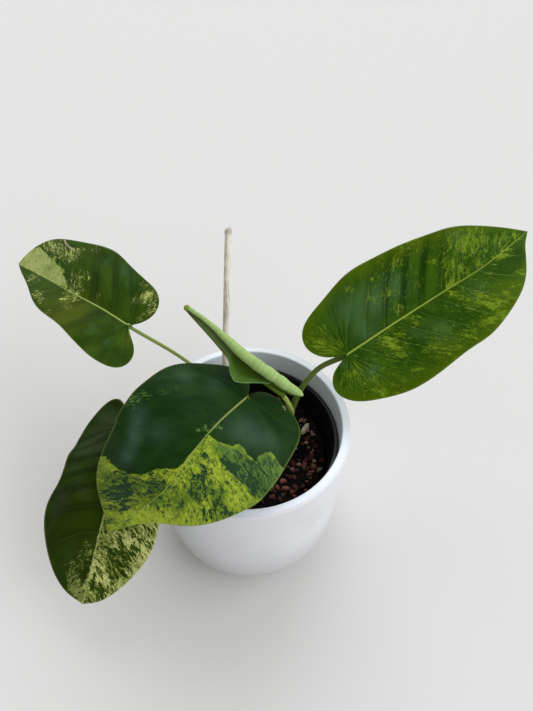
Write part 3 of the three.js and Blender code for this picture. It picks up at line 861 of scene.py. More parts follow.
@dataclass(frozen=True)
class StalkFinish:
    """Finish of the stalks and the short stem."""

    low: Colour = (70, 92, 30)
    high: Colour = (146, 164, 78)
    sheath: Colour = (116, 138, 62)
    fleck: Colour = (128, 146, 68)

    def material(self) -> bpy.types.Material:
        """Builds the material: fine lines along the stalk, few flecks, darker near the mix."""
        net = Paint.started("stalk_skin")
        uv = net.place("UV")
        lines = net.noise(uv, (22.0, 0.5, 1.0))
        blot = net.ramp(net.noise(uv, 1.6, 4.0, 0.6), 0.58, 0.72, 0.0, 0.4)
        drawn = net.ramp(lines, 0.5, 0.75, 0.0, 0.45)
        coats = (net.value("tone"), self.high), (drawn, self.fleck), (blot, self.sheath)
        return net.finished(net.layered(self.low, *coats), 0.45, 0.2, lines, 0.4, 0.0003)


@dataclass(frozen=True)
class GlazeFinish:
    """Satin white glaze of the planter.

    Attributes:
        body: Colour of the wall.
        cloud: Its faint clouds.
        rim: Painted light: a whiter colour inside the planter and on its rim.
        foot: Painted shade: a greyer colour low down.
        speck: Sparse specks.
        rim_radius: Metres from the axis between which the painted light ends.
        rim_height: Heights between which it begins.
        foot_height: Heights between which the painted shade fades.
    """

    body: Colour = (211, 212, 218)
    cloud: Colour = (204, 205, 211)
    rim: Colour = (228, 236, 247)
    foot: Colour = (176, 173, 174)
    speck: Colour = (150, 150, 156)
    rim_radius: Pair = (0.0722, 0.0742)
    rim_height: Pair = (0.09, 0.1)
    foot_height: Pair = (0.01, 0.08)

    def material(self, effects: Effects) -> bpy.types.Material:
        """Builds the material: faint clouds, painted light on the rim, painted shade low down, sparse specks,
        orange-peel relief.
        """
        net = Paint.started("white_satin_glaze")
        place = net.place()
        x, y, z = net.parts(place)
        cloud = net.noise(place, 22.0, 4.0, 0.6)
        radius = net.maths("SQRT", net.plus(net.times(x, x), net.times(y, y)))
        inner, above = net.ramp(radius, *self.rim_radius, 1.0, 0.0), net.ramp(z, *self.rim_height)
        colour = net.layered(
            self.body,
            (net.ramp(cloud, 0.35, 0.7), self.cloud),
            # Painted shade: greyer colour low down.
            (net.ramp(z, *self.foot_height, 0.9, 0.0), self.foot),
            # Painted light: whiter colour inside the planter and on its rim.
            (net.times(inner, above), self.rim),
            (net.ramp(net.noise(place, 620.0, 1.0), 0.8, 0.86), self.speck),
        )
        grain = net.group(effects.grain, Place=place, Size=420.0)[0]
        return net.finished(colour, net.ramp(cloud, 0.3, 0.7, 0.36, 0.46), PLAIN_SHINE, grain, 0.12, 0.0006)


@dataclass(frozen=True)
class PlasticFinish:
    """Smooth black plastic of the nursery pot."""

    body: Colour = (17, 18, 21)
    dust: Colour = (62, 60, 60)

    def material(self, effects: Effects) -> bpy.types.Material:
        """Builds the material: moulded black with some dust from the mix."""
        net = Paint.started("black_moulded_plastic")
        place = net.place()
        dust = net.noise(place, 260.0, 5.0, 0.7)
        colour = net.blend(net.ramp(dust, 0.6, 0.78, 0.0, 0.5), self.body, self.dust)
        grain = net.group(effects.grain, Place=place, Size=700.0)[0]
        return net.finished(colour, net.ramp(dust, 0.4, 0.7, 0.3, 0.5), PLAIN_SHINE, grain, 0.15, 0.0003)


@dataclass(frozen=True)
class MixFinish:
    """Dark potting mix; loose pieces take their colour from the mesh."""

    name: str = "dark_mix"
    tinted: bool = False
    black: Colour = (6, 5, 5)
    crumb: Colour = (28, 19, 16)
    grit: Colour = (74, 50, 42)
    dust: Colour = (30, 22, 18)

    def material(self) -> bpy.types.Material:
        """Builds the material: crumbs and fine grit, or tinted pieces with dust on them."""
        net = Paint.started(self.name)
        place = net.place()
        crumb, fine = net.noise(place, 420.0, 5.0, 0.7), net.noise(place, 1500.0, 3.0, 0.65)
        if self.tinted:
            tint = net.node("ShaderNodeAttribute", attribute_name="tint").outputs["Color"]
            colour = net.blend(net.ramp(fine, 0.42, 0.7, 0.0, 0.55), tint, self.dust)
        else:
            coats = (net.ramp(crumb, 0.42, 0.7), self.crumb), (net.ramp(fine, 0.68, 0.76), self.grit)
            colour = net.layered(self.black, *coats)
        return net.finished(colour, 0.85, 0.12, fine if self.tinted else crumb, 0.8, 0.0008)


@dataclass(frozen=True)
class WoodFinish:
    """Weathered thin stake."""

    body: Colour = (234, 228, 216)
    line: Colour = (184, 174, 158)
    nick: Colour = (104, 96, 88)

    def material(self) -> bpy.types.Material:
        """Builds the material: fibres along the stake, dark nicks and a grey top."""
        net = Paint.started("weathered_stake_wood")
        place = net.place()
        fibre = net.noise(place, (900.0, 900.0, 26.0), 4.0, 0.6)
        nicks = net.noise(place, (420.0, 420.0, 230.0), 3.0, 0.65)
        colour = net.layered(
            self.body,
            (net.ramp(fibre, 0.42, 0.66), self.line),
            (net.ramp(nicks, 0.62, 0.72, 0.0, 0.8), self.nick),
            (net.times(net.value("top"), 0.5), self.nick),
        )
        return net.finished(colour, 0.8, PLAIN_SHINE, fibre, 0.6, 0.0005)


# Leaves


@dataclass(frozen=True)
class Mark:
    """Soft spot on a blade: where it is along and out from the midrib, its reach and strength."""

    along: float
    out: float
    reach: float
    strength: float


@dataclass(frozen=True)
class Patch:
    """Area of a blade with a clear edge.

    Attributes:
        outline: Corners, each the distance along the midrib and out from it, right is positive.
        strength: Value inside.
        softness: Width of its edge.
    """

    outline: Pairs
    strength: float
    softness: float

    def value(self, along: np.ndarray, out: np.ndarray) -> np.ndarray:
        """Strength times the eased signed distance to the outline."""
        inside = signed_distance(along, out, self.outline)
        return self.strength * np.clip(0.5 + inside / (2 * self.softness), 0, 1)


def spots(*rows: tuple[float, ...], wider: float = 1.0, weaker: float = 1.0) -> tuple[Mark, ...]:
    """Marks from rows of along, out, reach and strength; both last values can be scaled together."""
    return tuple(Mark(along, out, reach * wider, strength * weaker) for along, out, reach, strength in rows)


def density(
    along: np.ndarray, out: np.ndarray, marks: Sequence[Mark], patches: Sequence[Patch]
) -> np.ndarray:
    """Value of all marks and patches together.

    Each mark is a Gaussian of its reach. What is left uncovered shrinks by each mark in turn, and a
    mark of negative strength is taken off at the end.

    Args:
        along: Distances along the midrib.
        out: Distances out from it.
        marks: Soft spots.
        patches: Areas with clear edges.

    Returns:
        Values per point.
    """
    bare, less = np.ones_like(along), np.zeros_like(along)
    for mark in marks:
        spot = mark.strength * np.exp(-((along - mark.along) ** 2 + (out - mark.out) ** 2) / mark.reach**2)
        bare = bare * (1 - np.maximum(spot, 0))
        less = np.maximum(less, -spot)
    total = 1 - bare
    for patch in patches:
        total = np.maximum(total, patch.value(along, out))
    return np.clip(total - less, 0, 1)


@dataclass(frozen=True)
class Blade:
    """Open leaf blade.

    Attributes:
        name: Name of the piece.
        node: The solid that it stands for.
        finish: Its finish.
        rib: Points of the midrib from the stalk to the tip.
        up_base: Direction that the upper face looks in at the stalk.
        up_tip: The same at the tip.
        fold_right: Degrees that the right half rises at the stalk and at the tip.
        fold_left: The same for the left half.
        right: Margin of the right half, as distance along the midrib and out from it.
        left: Margin of the left half.
        lag: How far the side veins sweep towards the tip for each unit outwards.
        veins: Side veins in each half.
        stalk: Points of its stalk from the stem up to where it nears the blade.
        stalk_radii: The stalk's radius low down and at the blade.
        stalk_tone: How light the stalk is.
        casts: Soft spots of each cast.
        areas: Areas of each cast with clear edges.
        scratches: Pale scars, each from one point to another.
        scratch_reach: Half the width of a scar.
        curl: How fast each half turns down.
        wave: Height of the margin's waves.
        waves: Number of waves.
        relief: Height of the quilting between the side veins.
        sweep: How strongly the side veins bend towards the tip; 1 is straight.
        rib_radius: Radius of the midrib below the blade.
        rib_end: The same at the tip.
        rib_line: Half the width of the midrib's pale line at the stalk.
        rib_fade: How much that line fades towards the tip.
        rib_height: How far the midrib stands up above the blade.
        warm_margin: How much of the warm cast lies along the margin.
        rows: Steps round the margin.
        columns: Steps from the midrib to the margin.
        crowding: Power that crowds the columns towards the midrib.
        uneven: How far the right half's veins lie ahead of the left half's, in veins.
        thickness: Thickness of the blade at the midrib.
        thinning: Share of it that is lost on each face at the margin.
        border: How far the rounded margin stands out.
        seat_depth: How far below the blade the stalk ends.
    """

    name: str
    node: str
    finish: LeafFinish
    rib: Points
    up_base: Point
    up_tip: Point
    fold_right: Pair
    fold_left: Pair
    right: Pairs
    left: Pairs
    lag: float
    veins: float
    stalk: Points
    stalk_radii: Pair
    stalk_tone: float
    casts: dict[Cast, tuple[Mark, ...]]
    areas: dict[Cast, tuple[Patch, ...]] = field(default_factory=dict)
    scratches: tuple[Pairs, ...] = ()
    scratch_reach: float = 0.8
    curl: float = 2.0
    wave: float = 0.9
    waves: float = 4.5
    relief: float = 0.5
    sweep: float = 1.4
    rib_radius: float = 1.7
    rib_end: float = 0.5
    rib_line: float = 0.7
    rib_fade: float = 0.3
    rib_height: float = 0.3
    warm_margin: float = 0.0
    rows: int = 210
    columns: int = 46
    crowding: float = 1.3
    uneven: float = 0.35
    thickness: float = 0.8
    thinning: float = 0.18
    border: float = 0.22
    seat_depth: float = 2.8

    def surface(self, along: np.ndarray, out: np.ndarray, rise: np.ndarray) -> np.ndarray:
        """Points of the middle layer.

        From the midrib's point each half goes out by the cosine and up by the sine of its slope,
        which is the half's fold less the curl times the distance out. The rise is added upwards.

        Args:
            along: Distance along the midrib.
            out: Distance out, right positive.
            rise: Extra height.

        Returns:
            Positions.
        """
        share = along / self.length()
        point, speed = catmull_rom(np.array(self.rib), share)
        inside = np.clip(share, 0, 1)
        forward = unit(speed)
        up = np.array(self.up_base) + (np.array(self.up_tip) - np.array(self.up_base)) * inside[..., None]
        right = unit(np.cross(forward, up))
        up = np.cross(right, forward)
        fold = np.where(out > 0, *(a + (b - a) * inside for a, b in (self.fold_right, self.fold_left)))
        reach = np.abs(out)
        slope = np.radians(fold) - self.curl * reach / 1000
        sideways, height = out * np.cos(slope), reach * np.sin(slope) + rise
        return point + right * sideways[..., None] + up * height[..., None]

    def length(self) -> float:
        """Length of the midrib."""
        return even_shares(np.array(self.rib), 2)[1]

    def seat(self) -> Point:
        """Where the stalk ends below the blade."""
        point, speed = catmull_rom(np.array(self.rib, float), np.array([0.0]))
        forward = unit(speed)
        right = unit(np.cross(forward, np.array([self.up_base])))
        return tuple(float(v) for v in point[0] - self.seat_depth * np.cross(right, forward)[0])

    def whole_stalk(self) -> "Stalk":
        """The stalk, led to its seat."""
        return Stalk(self.stalk + (self.seat(),), *self.stalk_radii, self.stalk_tone)

    def skin(self) -> Skin:
        """Builds the blade as one thin closed surface.

        A row runs from the left margin over the midrib to the right margin along a pair of side
        veins: with s the share of the way out, out is s times the margin's, and along grows from the
        vein's start by s to the power of the sweep. The margin waves as a sine. Between the veins the
        sheet rises as the root of a sine of the vein's phase. Below the midrib the lower face bulges by
        a circle of the midrib's radius.

        Returns:
            The surface with all the values that its finish reads.
        """
        length = self.length()
        travelled = np.linspace(0, 1, self.rows + 1)
        edges, margin_length = [], 0.0
        for margin in (self.left, self.right):
            flat = np.array([(a, b, 0.0) for a, b in margin])
            shares, reach = even_shares(flat, self.rows + 1)
            edges.append(catmull_rom(flat, shares)[0][:, :2])
            margin_length += reach / 2
        starts = np.mean([edge[:, 0] - self.lag * edge[:, 1] for edge in edges], axis=0)
        start = np.minimum(np.maximum.accumulate(np.maximum(starts, 0)), length)
        out_share = np.linspace(0, 1, self.columns + 1) ** self.crowding
        halves = []
        for edge, side in zip(edges, (-1, 1)):
            along = start[:, None] + (edge[:, :1] - start[:, None]) * out_share**self.sweep
            halves.append((along, side * edge[:, 1:] * out_share))
        along, out = (np.hstack([left[:, :0:-1], right]) for left, right in zip(*halves))
        share = np.abs(np.concatenate([-out_share[:0:-1], out_share]))[None, :]
        side = np.sign(np.arange(2 * self.columns + 1) - self.columns)[None, :]
        step = travelled[:, None] * np.ones_like(share)
        phase = self.veins * step + self.uneven * (side > 0)
        ease = np.sin(np.pi * step)
        wave = self.wave * np.sin(2 * np.pi * self.waves * step) * ease * share**2
        quilt = self.relief * (np.abs(np.sin(np.pi * phase)) ** 0.7 - 0.75)
        quilt = quilt * smoothstep(share, 0.02, 0.3) * (1 - share**2) * np.clip(ease * 1.6, 0, 1)
        ridge = self.rib_height * np.exp(-((out / 0.8) ** 2)) * (1 - 0.7 * np.clip(along / length, 0, 1))
        points = self.surface(along, out, wave + quilt * np.ones_like(along) + ridge)
        points = self.evened(points, share, step)
        pattern_gap = 13.0
        across = side * (travelled[:, None] * margin_length + pattern_gap)
        half_width = np.stack([edges[0][:, 1], edges[1][:, 1]])[(side[0] > 0).astype(int)].T
        row_length = np.maximum(half_width, 0.01)
        uv = np.stack([across * np.ones_like(along), share * row_length], -1) / 10
        values = self.values(along, out, share, row_length, length) | {"phase": phase}
        flat_values = {key: value.reshape(-1) for key, value in values.items()}
        faces = grid_quads(self.rows + 1, 2 * self.columns + 1)
        sheet = Skin(points.reshape(-1, 3), faces, flat_values, uv.reshape(-1, 2))
        return self.with_thickness(sheet.welded(), length)

    def evened(self, points: np.ndarray, share: np.ndarray, step: np.ndarray, reach: int = 22) -> np.ndarray:
        """Evens out the rows towards the margin, where a bent midrib crowds them.

        The mean of the neighbours in the rows before and after, weighted by a raised cosine, is
        taken twice over; twice the first less the second keeps the long curves and drops the short
        ones. The move grows from the midrib outwards and ends at the tip and stalk.

        Args:
            points: Positions by row and column.
            share: Share of the way out to the margin.
            step: Share of the way round the margin.
            reach: Rows on either side that count.

        Returns:
            The moved positions.
        """
        weights = np.hanning(2 * reach + 3)[1:-1]
        weights = weights / weights.sum()

        def mean(rows: np.ndarray) -> np.ndarray:
            """Weighted mean of the rows round each row."""
            padded = np.pad(rows, ((reach, reach), (0, 0), (0, 0)), mode="reflect", reflect_type="odd")
            return sum(w * padded[k : k + len(rows)] for k, w in enumerate(weights))

        once = mean(points)
        smooth = 2 * once - mean(once)
        ends = np.clip(np.minimum(step, 1 - step) * 12, 0, 1)
        hold = smoothstep(share, 0.2, 0.7) * ends
        return points + (smooth - points) * hold[..., None]

    def with_thickness(self, sheet: Skin, length: float) -> Skin:
        """Gives the sheet its thickness and the midrib below it.

        The midrib's radius shrinks towards the tip, and a knee under its first millimetres reaches
        down to the stalk's end.

        Args:
            sheet: The open sheet.
            length: Length of the midrib.

        Returns:
            The closed surface.
        """
        along, out, edge = (sheet.values.pop(key) for key in ("along", "out", "edge"))
        thin = self.thickness * (0.5 - self.thinning * edge)
        share = np.clip(along / length, 0, 1)
        radius = self.rib_radius + (self.rib_end - self.rib_radius) * share**0.7
        radius = radius * (1 - smoothstep(share, 0.8, 0.97))
        knee = (self.seat_depth - 0.9) * np.exp(-np.abs(along) / 5.0)
        away = np.sqrt(out**2 + np.minimum(along, 0) ** 2)
        bulge = np.sqrt(np.maximum(radius**2 - away**2, 0)) / np.maximum(radius, 1e-6)
        return sheet.thickened(thin, thin + bulge * (radius * 0.75 + knee), self.border)

    def values(
        self, along: np.ndarray, out: np.ndarray, share: np.ndarray, row_length: np.ndarray, length: float
    ) -> dict[str, np.ndarray]:
        """Values per point that place the colours.

        Args:
            along: Distance along the midrib.
            out: Distance out, right positive.
            share: Share of the way out to the margin.
            row_length: Length of each row.
            length: Length of the midrib.

        Returns:
            Named values.
        """
        to_margin = (1 - share) * row_length
        width = self.rib_line * (1 - 0.6 * np.clip(along / length, 0, 1))
        scar = np.zeros_like(along)
        for start, (bx, by) in self.scratches:
            spot = signed_distance(along, out, (start, (bx, by), (bx + 0.01, by)))
            clear = smoothstep(np.abs(spot), 0.3 * self.scratch_reach, self.scratch_reach)
            scar = np.maximum(scar, 1 - clear)
        rib = (1 - smoothstep(np.abs(out), 0.5 * width, 1.2 * width)) * smoothstep(along, -1.2, 0.0)
        values = {
            cast.value: density(along, out, self.casts.get(cast, ()), self.areas.get(cast, ()))
            for cast in Cast
        }
        values["warm"] = np.maximum(values["warm"], self.warm_margin * smoothstep(share, 0.7, 1.0))
        return values | {
            "along": along,
            "out": out,
            "edge": share * np.ones_like(along),
            "vein": smoothstep(share, 0.0, 0.06) * (1 - smoothstep(share, 0.55, 1.0)) * np.ones_like(along),
            "rib": rib * (1 - self.rib_fade * smoothstep(along / length, 0.25, 0.7)),
            "rim": (1 - smoothstep(to_margin, 0.05, 0.5)) * smoothstep(np.hypot(along, out), 8.0, 30.0),
            "mark": scar,
        }

    def built(self, effects: Effects, box: np.ndarray) -> bpy.types.Object:
        """Builds and places the blade.

        Args:
            effects: Shared node groups.
            box: Lowest and highest corner of the solids, which the blade stays inside.

        Returns:
            The object.
        """
        skin = self.skin()
        skin.points = np.clip(skin.points, *box)
        return placed(skin.built(self.name, self.finish.material(effects)), Slot.LEAF, self.node)


def placed(piece: bpy.types.Object, slot: Slot, node: str) -> bpy.types.Object:
    """Ties a piece to the frame.

    Args:
        piece: The object.
        slot: Material slot of the record; not used.
        node: Solid that it stands for.

    Returns:
        The same object.
    """
    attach(piece, ROOT)
    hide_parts(node)
    LOG.info("%s: %d faces", piece.name, len(piece.data.polygons))
    return piece


@dataclass(frozen=True)
class RolledLeaf:
    """New leaf that is still rolled, with a flap that has opened.

    Attributes:
        axis: Centre line of the roll, from its lobes to its tip.
        towards_front: Direction from the axis to the side that is seen.
        stations: Share of the length, radius of the roll, width of the flap and shift across.
        rib_track: Share, and the midrib's place across and in front of the roll.
        stalk: Points of its stalk from the stem to its seat.
        stalk_radii: The stalk's radius low down and at the seat.
        stalk_tone: How light the stalk is.
        rib_radius: Radius of the midrib at the seat.
        rib_end: The same at its far end.
        knob_radius: Radius of the knob at the tip.
        turns: Turns of the sheet in the thickest part of the roll.
        narrow_turns: Share of them in the thinnest part.
        radius_range: Thinnest radius and how much the thickest adds.
        tightening: Share of its radius that the roll loses inwards.
        lap: How far before its lowest line the roll begins, in radians.
        flap_rise: How fast the flap bends up.
        rows: Steps along the roll.
        flap_columns: Steps across the flap.
        roll_columns: Steps round the roll.
        thickness: Thickness of the sheet.
        length_cm: Length of the roll in centimetres, for its pattern.
    """

    axis: Points = (
        (34.6, -7.1, 185), (15.3, -0.3, 192), (-3.3, 9.9, 199), (-22.5, 25.3, 207), (-42.3, 40.9, 214),
    )
    towards_front: Point = (0.05, -0.66, 0.75)
    stations: Stations = (
        (-0.03, 0.3, 0, -1.5), (-0.015, 1.9, 0, -1.4), (0, 2.4, 0, -1.3), (0.05, 3.6, 0, -1.3),
        (0.12, 4.3, 0, -0.5), (0.2, 4.5, 0.4, 0.5), (0.25, 4.6, 2.8, 0.8), (0.3, 4.6, 5.8, 1),
        (0.36, 4.5, 10.4, 1.2), (0.41, 4.4, 13.0, 1.3), (0.46, 4.2, 10.8, 1.3), (0.51, 4.0, 6.0, 1.3),
        (0.56, 3.7, 4.4, 1.4), (0.64, 3.1, 4.4, 1.5), (0.75, 2.2, 4.3, 1.7), (0.87, 1.7, 3.2, 1.5),
        (1, 1.7, 0.4, 0.3),
    )
    rib_track: Points = (
        (0.17, -6.4, -3.6), (0.25, -5.8, -5.6), (0.33, -5.2, -7.0), (0.43, -4.2, -6.6), (0.6, -1.4, -5.2),
    )
    stalk: Points = ((29, 20, 104), (31.6, 7.5, 140), (29.3, -0.2, 158), (26, -4.5, 172), (23.5, -6.8, 180))
    stalk_radii: Pair = (3.0, 1.7)
    stalk_tone: float = 1.0
    rib_radius: float = 1.7
    rib_end: float = 0.6
    knob_radius: float = 2.2
    turns: float = 1.15
    narrow_turns: float = 0.62
    radius_range: Pair = (1.3, 3.3)
    tightening: float = 0.42
    lap: float = 0.4
    flap_rise: float = 0.016
    rows: int = 250
    flap_columns: int = 22
    roll_columns: int = 62
    thickness: float = 0.7
    length_cm: float = 9.3

    def frame(self, share: np.ndarray, samples: int = 801) -> tuple[np.ndarray, np.ndarray, np.ndarray]:
        """Centre, front and across directions at shares of the roll's length.

        Args:
            share: Places along the roll; before its start it runs straight on.
            samples: Steps used to space them evenly.

        Returns:
            One point and two unit directions for each share.
        """
        even, _ = even_shares(np.array(self.axis), samples)
        at = np.interp(share, np.linspace(0, 1, samples), even)
        at = at + np.minimum(share, 0) * even[1] * (samples - 1)
        centre, speed = catmull_rom(np.array(self.axis, float), at)
        forward = unit(speed)
        front = unit(self.towards_front - forward * (forward @ np.array(self.towards_front))[:, None])
        return centre, front, unit(np.cross(forward, front))

    def sheet(self) -> Skin:
        """Flap and roll as one sheet.

        Over the flap's columns the sheet runs from its free margin, bent up by the square of its
        width, to below the roll. Over the rest the angle grows evenly and the radius shrinks with
        it, so the sheet winds into itself. Two sines of the share, each bent by a slower one, make the
        ridges across the roll.

        Returns:
            The closed thin surface.
        """
        share = np.linspace(self.stations[0][0], 1, self.rows + 1)
        radius, flap, shift = (self.eased(share, column)[:, None] for column in (1, 2, 3))
        flap = np.maximum(flap, 0)
        centre, front, across = self.frame(share)
        long = share[:, None]
        reach = 1 - np.arange(self.flap_columns) / self.flap_columns
        flap_side = -(radius * 0.5 + (flap + radius * 0.5) * reach)
        flap_front = -radius * (1 - 0.16 * reach) + self.flap_rise * flap**2 * reach**2
        flap_front = flap_front + 0.035 * flap * np.sin(long * 60) * reach**3
        wound = np.arange(self.roll_columns + 1) / self.roll_columns
        thick = (radius - self.radius_range[0]) / self.radius_range[1]
        turns = self.turns * (self.narrow_turns + (1 - self.narrow_turns) * thick)
        angle = -np.pi / 2 - self.lap + wound * 2 * np.pi * turns
        ripple = 0.6 * np.sin(long * 176 + 2.6 * np.sin(long * 23) + 0.8 * np.cos(angle))
        ripple = ripple + 0.4 * np.sin(long * 291 + 3.1 * np.sin(long * 31))
        lobed = 0.05 * np.sin(long * 58 + 0.4 * np.sin(angle)) * (1 - smoothstep(long, 0.3, 0.5))
        uneven = radius * (1 - self.tightening * wound) * (1 + 0.026 * ripple + lobed)
        sideways = np.hstack([flap_side, uneven * np.cos(angle)]) + shift
        outwards = np.hstack([flap_front, uneven * np.sin(angle)])
        points = centre[:, None] + across[:, None] * sideways[..., None]
        points = points + front[:, None] * outwards[..., None]
        ones = np.ones_like(sideways)
        no_flap, no_roll = 0 * flap_side, 0 * angle
        from_margin = np.hstack([(flap + 0.01) * (1 - reach), no_roll + 99])
        margin_end = 0.5 + 0.6 * smoothstep(long, 0.5, 0.6)
        values = {
            "outside": np.hstack([no_flap + 1, no_roll]) * (flap > 3),
            "ridge": np.hstack([no_flap, 0.5 + 0.5 * ripple]),
            "band": np.hstack([smoothstep(reach, 0.5, 0.8) + no_flap, no_roll]),
            "late": smoothstep(long, 0.5, 0.58) * ones,
            "rim": (1 - smoothstep(from_margin, 0.15, margin_end)) * (flap > 0.8),
            "tip": smoothstep(long, 0.975, 0.995) * ones,
        }
        steps = np.hypot(np.diff(sideways), np.diff(outwards))
        crosswise = np.cumsum(np.hstack([np.zeros_like(radius), steps]), axis=1) / 10
        uv = np.stack([crosswise, long * self.length_cm * ones], -1).reshape(-1, 2)
        flat = {key: value.reshape(-1) for key, value in values.items()}
        sheet = Skin(points.reshape(-1, 3), grid_quads(*ones.shape), flat, uv).welded()
        seen = sheet.normals()[sheet.values["outside"] > 0.5] @ np.array(self.towards_front)
        half = np.full(len(sheet.points), self.thickness / 2)
        solid = sheet.thickened(half, half, 0.2)
        under = solid.values["under"]
        solid.values["outside"] = under if seen.mean() > 0 else 1 - under
        return solid

    def eased(self, share: np.ndarray, column: int) -> np.ndarray:
        """A column of the stations, smoothed a little between its rows."""
        table, window = np.array(self.stations), np.hanning(17)
        fine = np.linspace(table[0, 0], 1, 601)
        padded = np.pad(np.interp(fine, table[:, 0], table[:, column]), len(window) // 2, mode="edge")
        return np.interp(share, fine, np.convolve(padded, window / window.sum(), "valid"))

    def rib(self) -> Skin:
        """Midrib below the roll, as a tapering tube from the stalk's end."""
        seat = np.array(self.stalk[-1])
        path = [seat, seat + unit(seat - np.array(self.stalk[-2]))]
        for share, sideways, outwards in self.rib_track:
            centre, front, across = (rows[0] for rows in self.frame(np.array([share])))
            path.append(centre + front * outwards + across * sideways)
        taper = self.rib_end - self.rib_radius
        return tube(np.array(path), lambda t, a: self.rib_radius + taper * t, 60, 20).marked("rib")

    def tip_knob(self) -> Skin:
        """Small round knob at the end of the roll: its radius is the half circle's height."""
        before, end = self.frame(np.array([0.985, 1.0]))[0]
        ahead = unit(end - before) * self.knob_radius
        round_off = lambda t, a: self.knob_radius * np.sqrt(np.clip(1 - (2 * t - 1) ** 2, 0.02, 1))
        return tube(np.array([end - ahead, end, end + ahead]), round_off, 18, 20).marked("tip")

    def built(self) -> bpy.types.Object:
        """Builds and places the leaf."""
        skin = joined([self.sheet(), self.rib(), self.tip_knob()])
        return placed(skin.built("leaf_rolled", RolledFinish().material()), Slot.NEW_LEAF, "blade_new_leaf")


# Stem, stalks, stake, mix and pots


@dataclass(frozen=True)
class Stalk:
    """Leaf stalk: path from the stem, radii at both ends and how light it is."""

    path: Points
    base: float
    end: float
    tone: float

    def skin(self) -> Skin:
        """Tube along the path, with shallow ribs and one groove; its base widens into its sheath.

        Returns:
            The closed surface, lighter towards the leaf.
        """
        ribs, rib_height, groove, groove_at, groove_width = 9, 0.06, 0.12, 1.6, 0.4
        sheath, sheath_share = 0.9, 0.3

        def radius(t: np.ndarray, a: np.ndarray) -> np.ndarray:
            """Radius by share of length and angle."""
            from_groove = np.angle(np.exp(1j * (a - groove_at))) / groove_width
            return (
                self.base + (self.end - self.base) * np.minimum(t * 1.8, 1)
                + sheath * (1 - smoothstep(t, 0.0, sheath_share))
                + rib_height * np.cos(ribs * a) - groove * np.exp(-(from_groove**2))
            )

        skin = tube(np.array(self.path, float), radius, 120, 28)
        skin.values = {"tone": self.tone * (0.55 + 0.45 * skin.uv[:, 1] / skin.uv[:, 1].max())}
        return skin


@dataclass(frozen=True)
class StemAndStalks:
    """Short stem with its stalks.

    Attributes:
        stalks: The stalks.
        foot: Lower end of the stem in the mix.
        top: Its upper end.
        foot_radius: Its radius at the foot.
        radius: Its radius in the middle.
        crown_radius: Its radius at the top.
        ripple: Height of its uneven rings.
    """

    stalks: tuple[Stalk, ...]
    foot: Point = (29, 22, 62)
    top: Point = (28, 21, 117)
    foot_radius: float = 5.5
    radius: float = 7.0
    crown_radius: float = 6.0
    ripple: float = 0.25

    def stem(self) -> Skin:
        """The stem as a tube that swells above its foot and narrows at the top."""
        swell, shrink = self.radius - self.foot_radius, self.radius - self.crown_radius
        shaft = lambda t, a: (
            self.foot_radius + swell * np.minimum(t * 2, 1) - shrink * smoothstep(t, 0.75, 1)
            + self.ripple * np.sin(t * 55 + np.cos(a))
        )
        skin = tube(np.array([self.foot, np.mean([self.foot, self.top], axis=0), self.top]), shaft, 60, 36)
        skin.values = {"tone": np.full(len(skin.points), 0.3)}
        return skin

    def built(self) -> bpy.types.Object:
        """Builds and places the stem with its stalks."""
        skin = joined([self.stem()] + [stalk.skin() for stalk in self.stalks])
        return placed(skin.built("stem_with_stalks", StalkFinish().material()), Slot.STALK, "stem_and_stalks")


@dataclass(frozen=True)
class Stake:
    """Thin weathered stake."""

    foot: Point = (-26, 39, 62)
    top: Point = (-12.6, 58, 266)
    radius: float = 2.4
    worn_edge: float = 0.22
    grey_from: Pair = (262.0, 265.5)

    def at(self, height: float) -> Pair:
        """Where the stake's middle passes a height."""
        share = (height - self.foot[2]) / (self.top[2] - self.foot[2])
        return tuple(a + (b - a) * share for a, b in zip(self.foot[:2], self.top[:2]))

    def radius_at(self, t: np.ndarray, a: np.ndarray) -> np.ndarray:
        """Radius with flats and nicks by two sizes of noise, and a worn top edge."""
        rough = 0.05 * value_noise(t * 60, a * 2.2, 5) + 0.04 * value_noise(t * 170, a * 3.5, 6)
        return (self.radius - 0.07 + rough) * (1 - self.worn_edge * smoothstep(t, 0.993, 1.0))

    def built(self) -> bpy.types.Object:
        """Builds and places the stake."""
        foot, top = np.array(self.foot), np.array(self.top)
        skin = tube(np.array([foot, (foot + top) / 2, top]), self.radius_at, 260, 28)
        skin.values = {"top": smoothstep(skin.points[:, 2], *self.grey_from)}
        return placed(skin.built("thin_stake", WoodFinish().material()), Slot.STAKE, "stake")


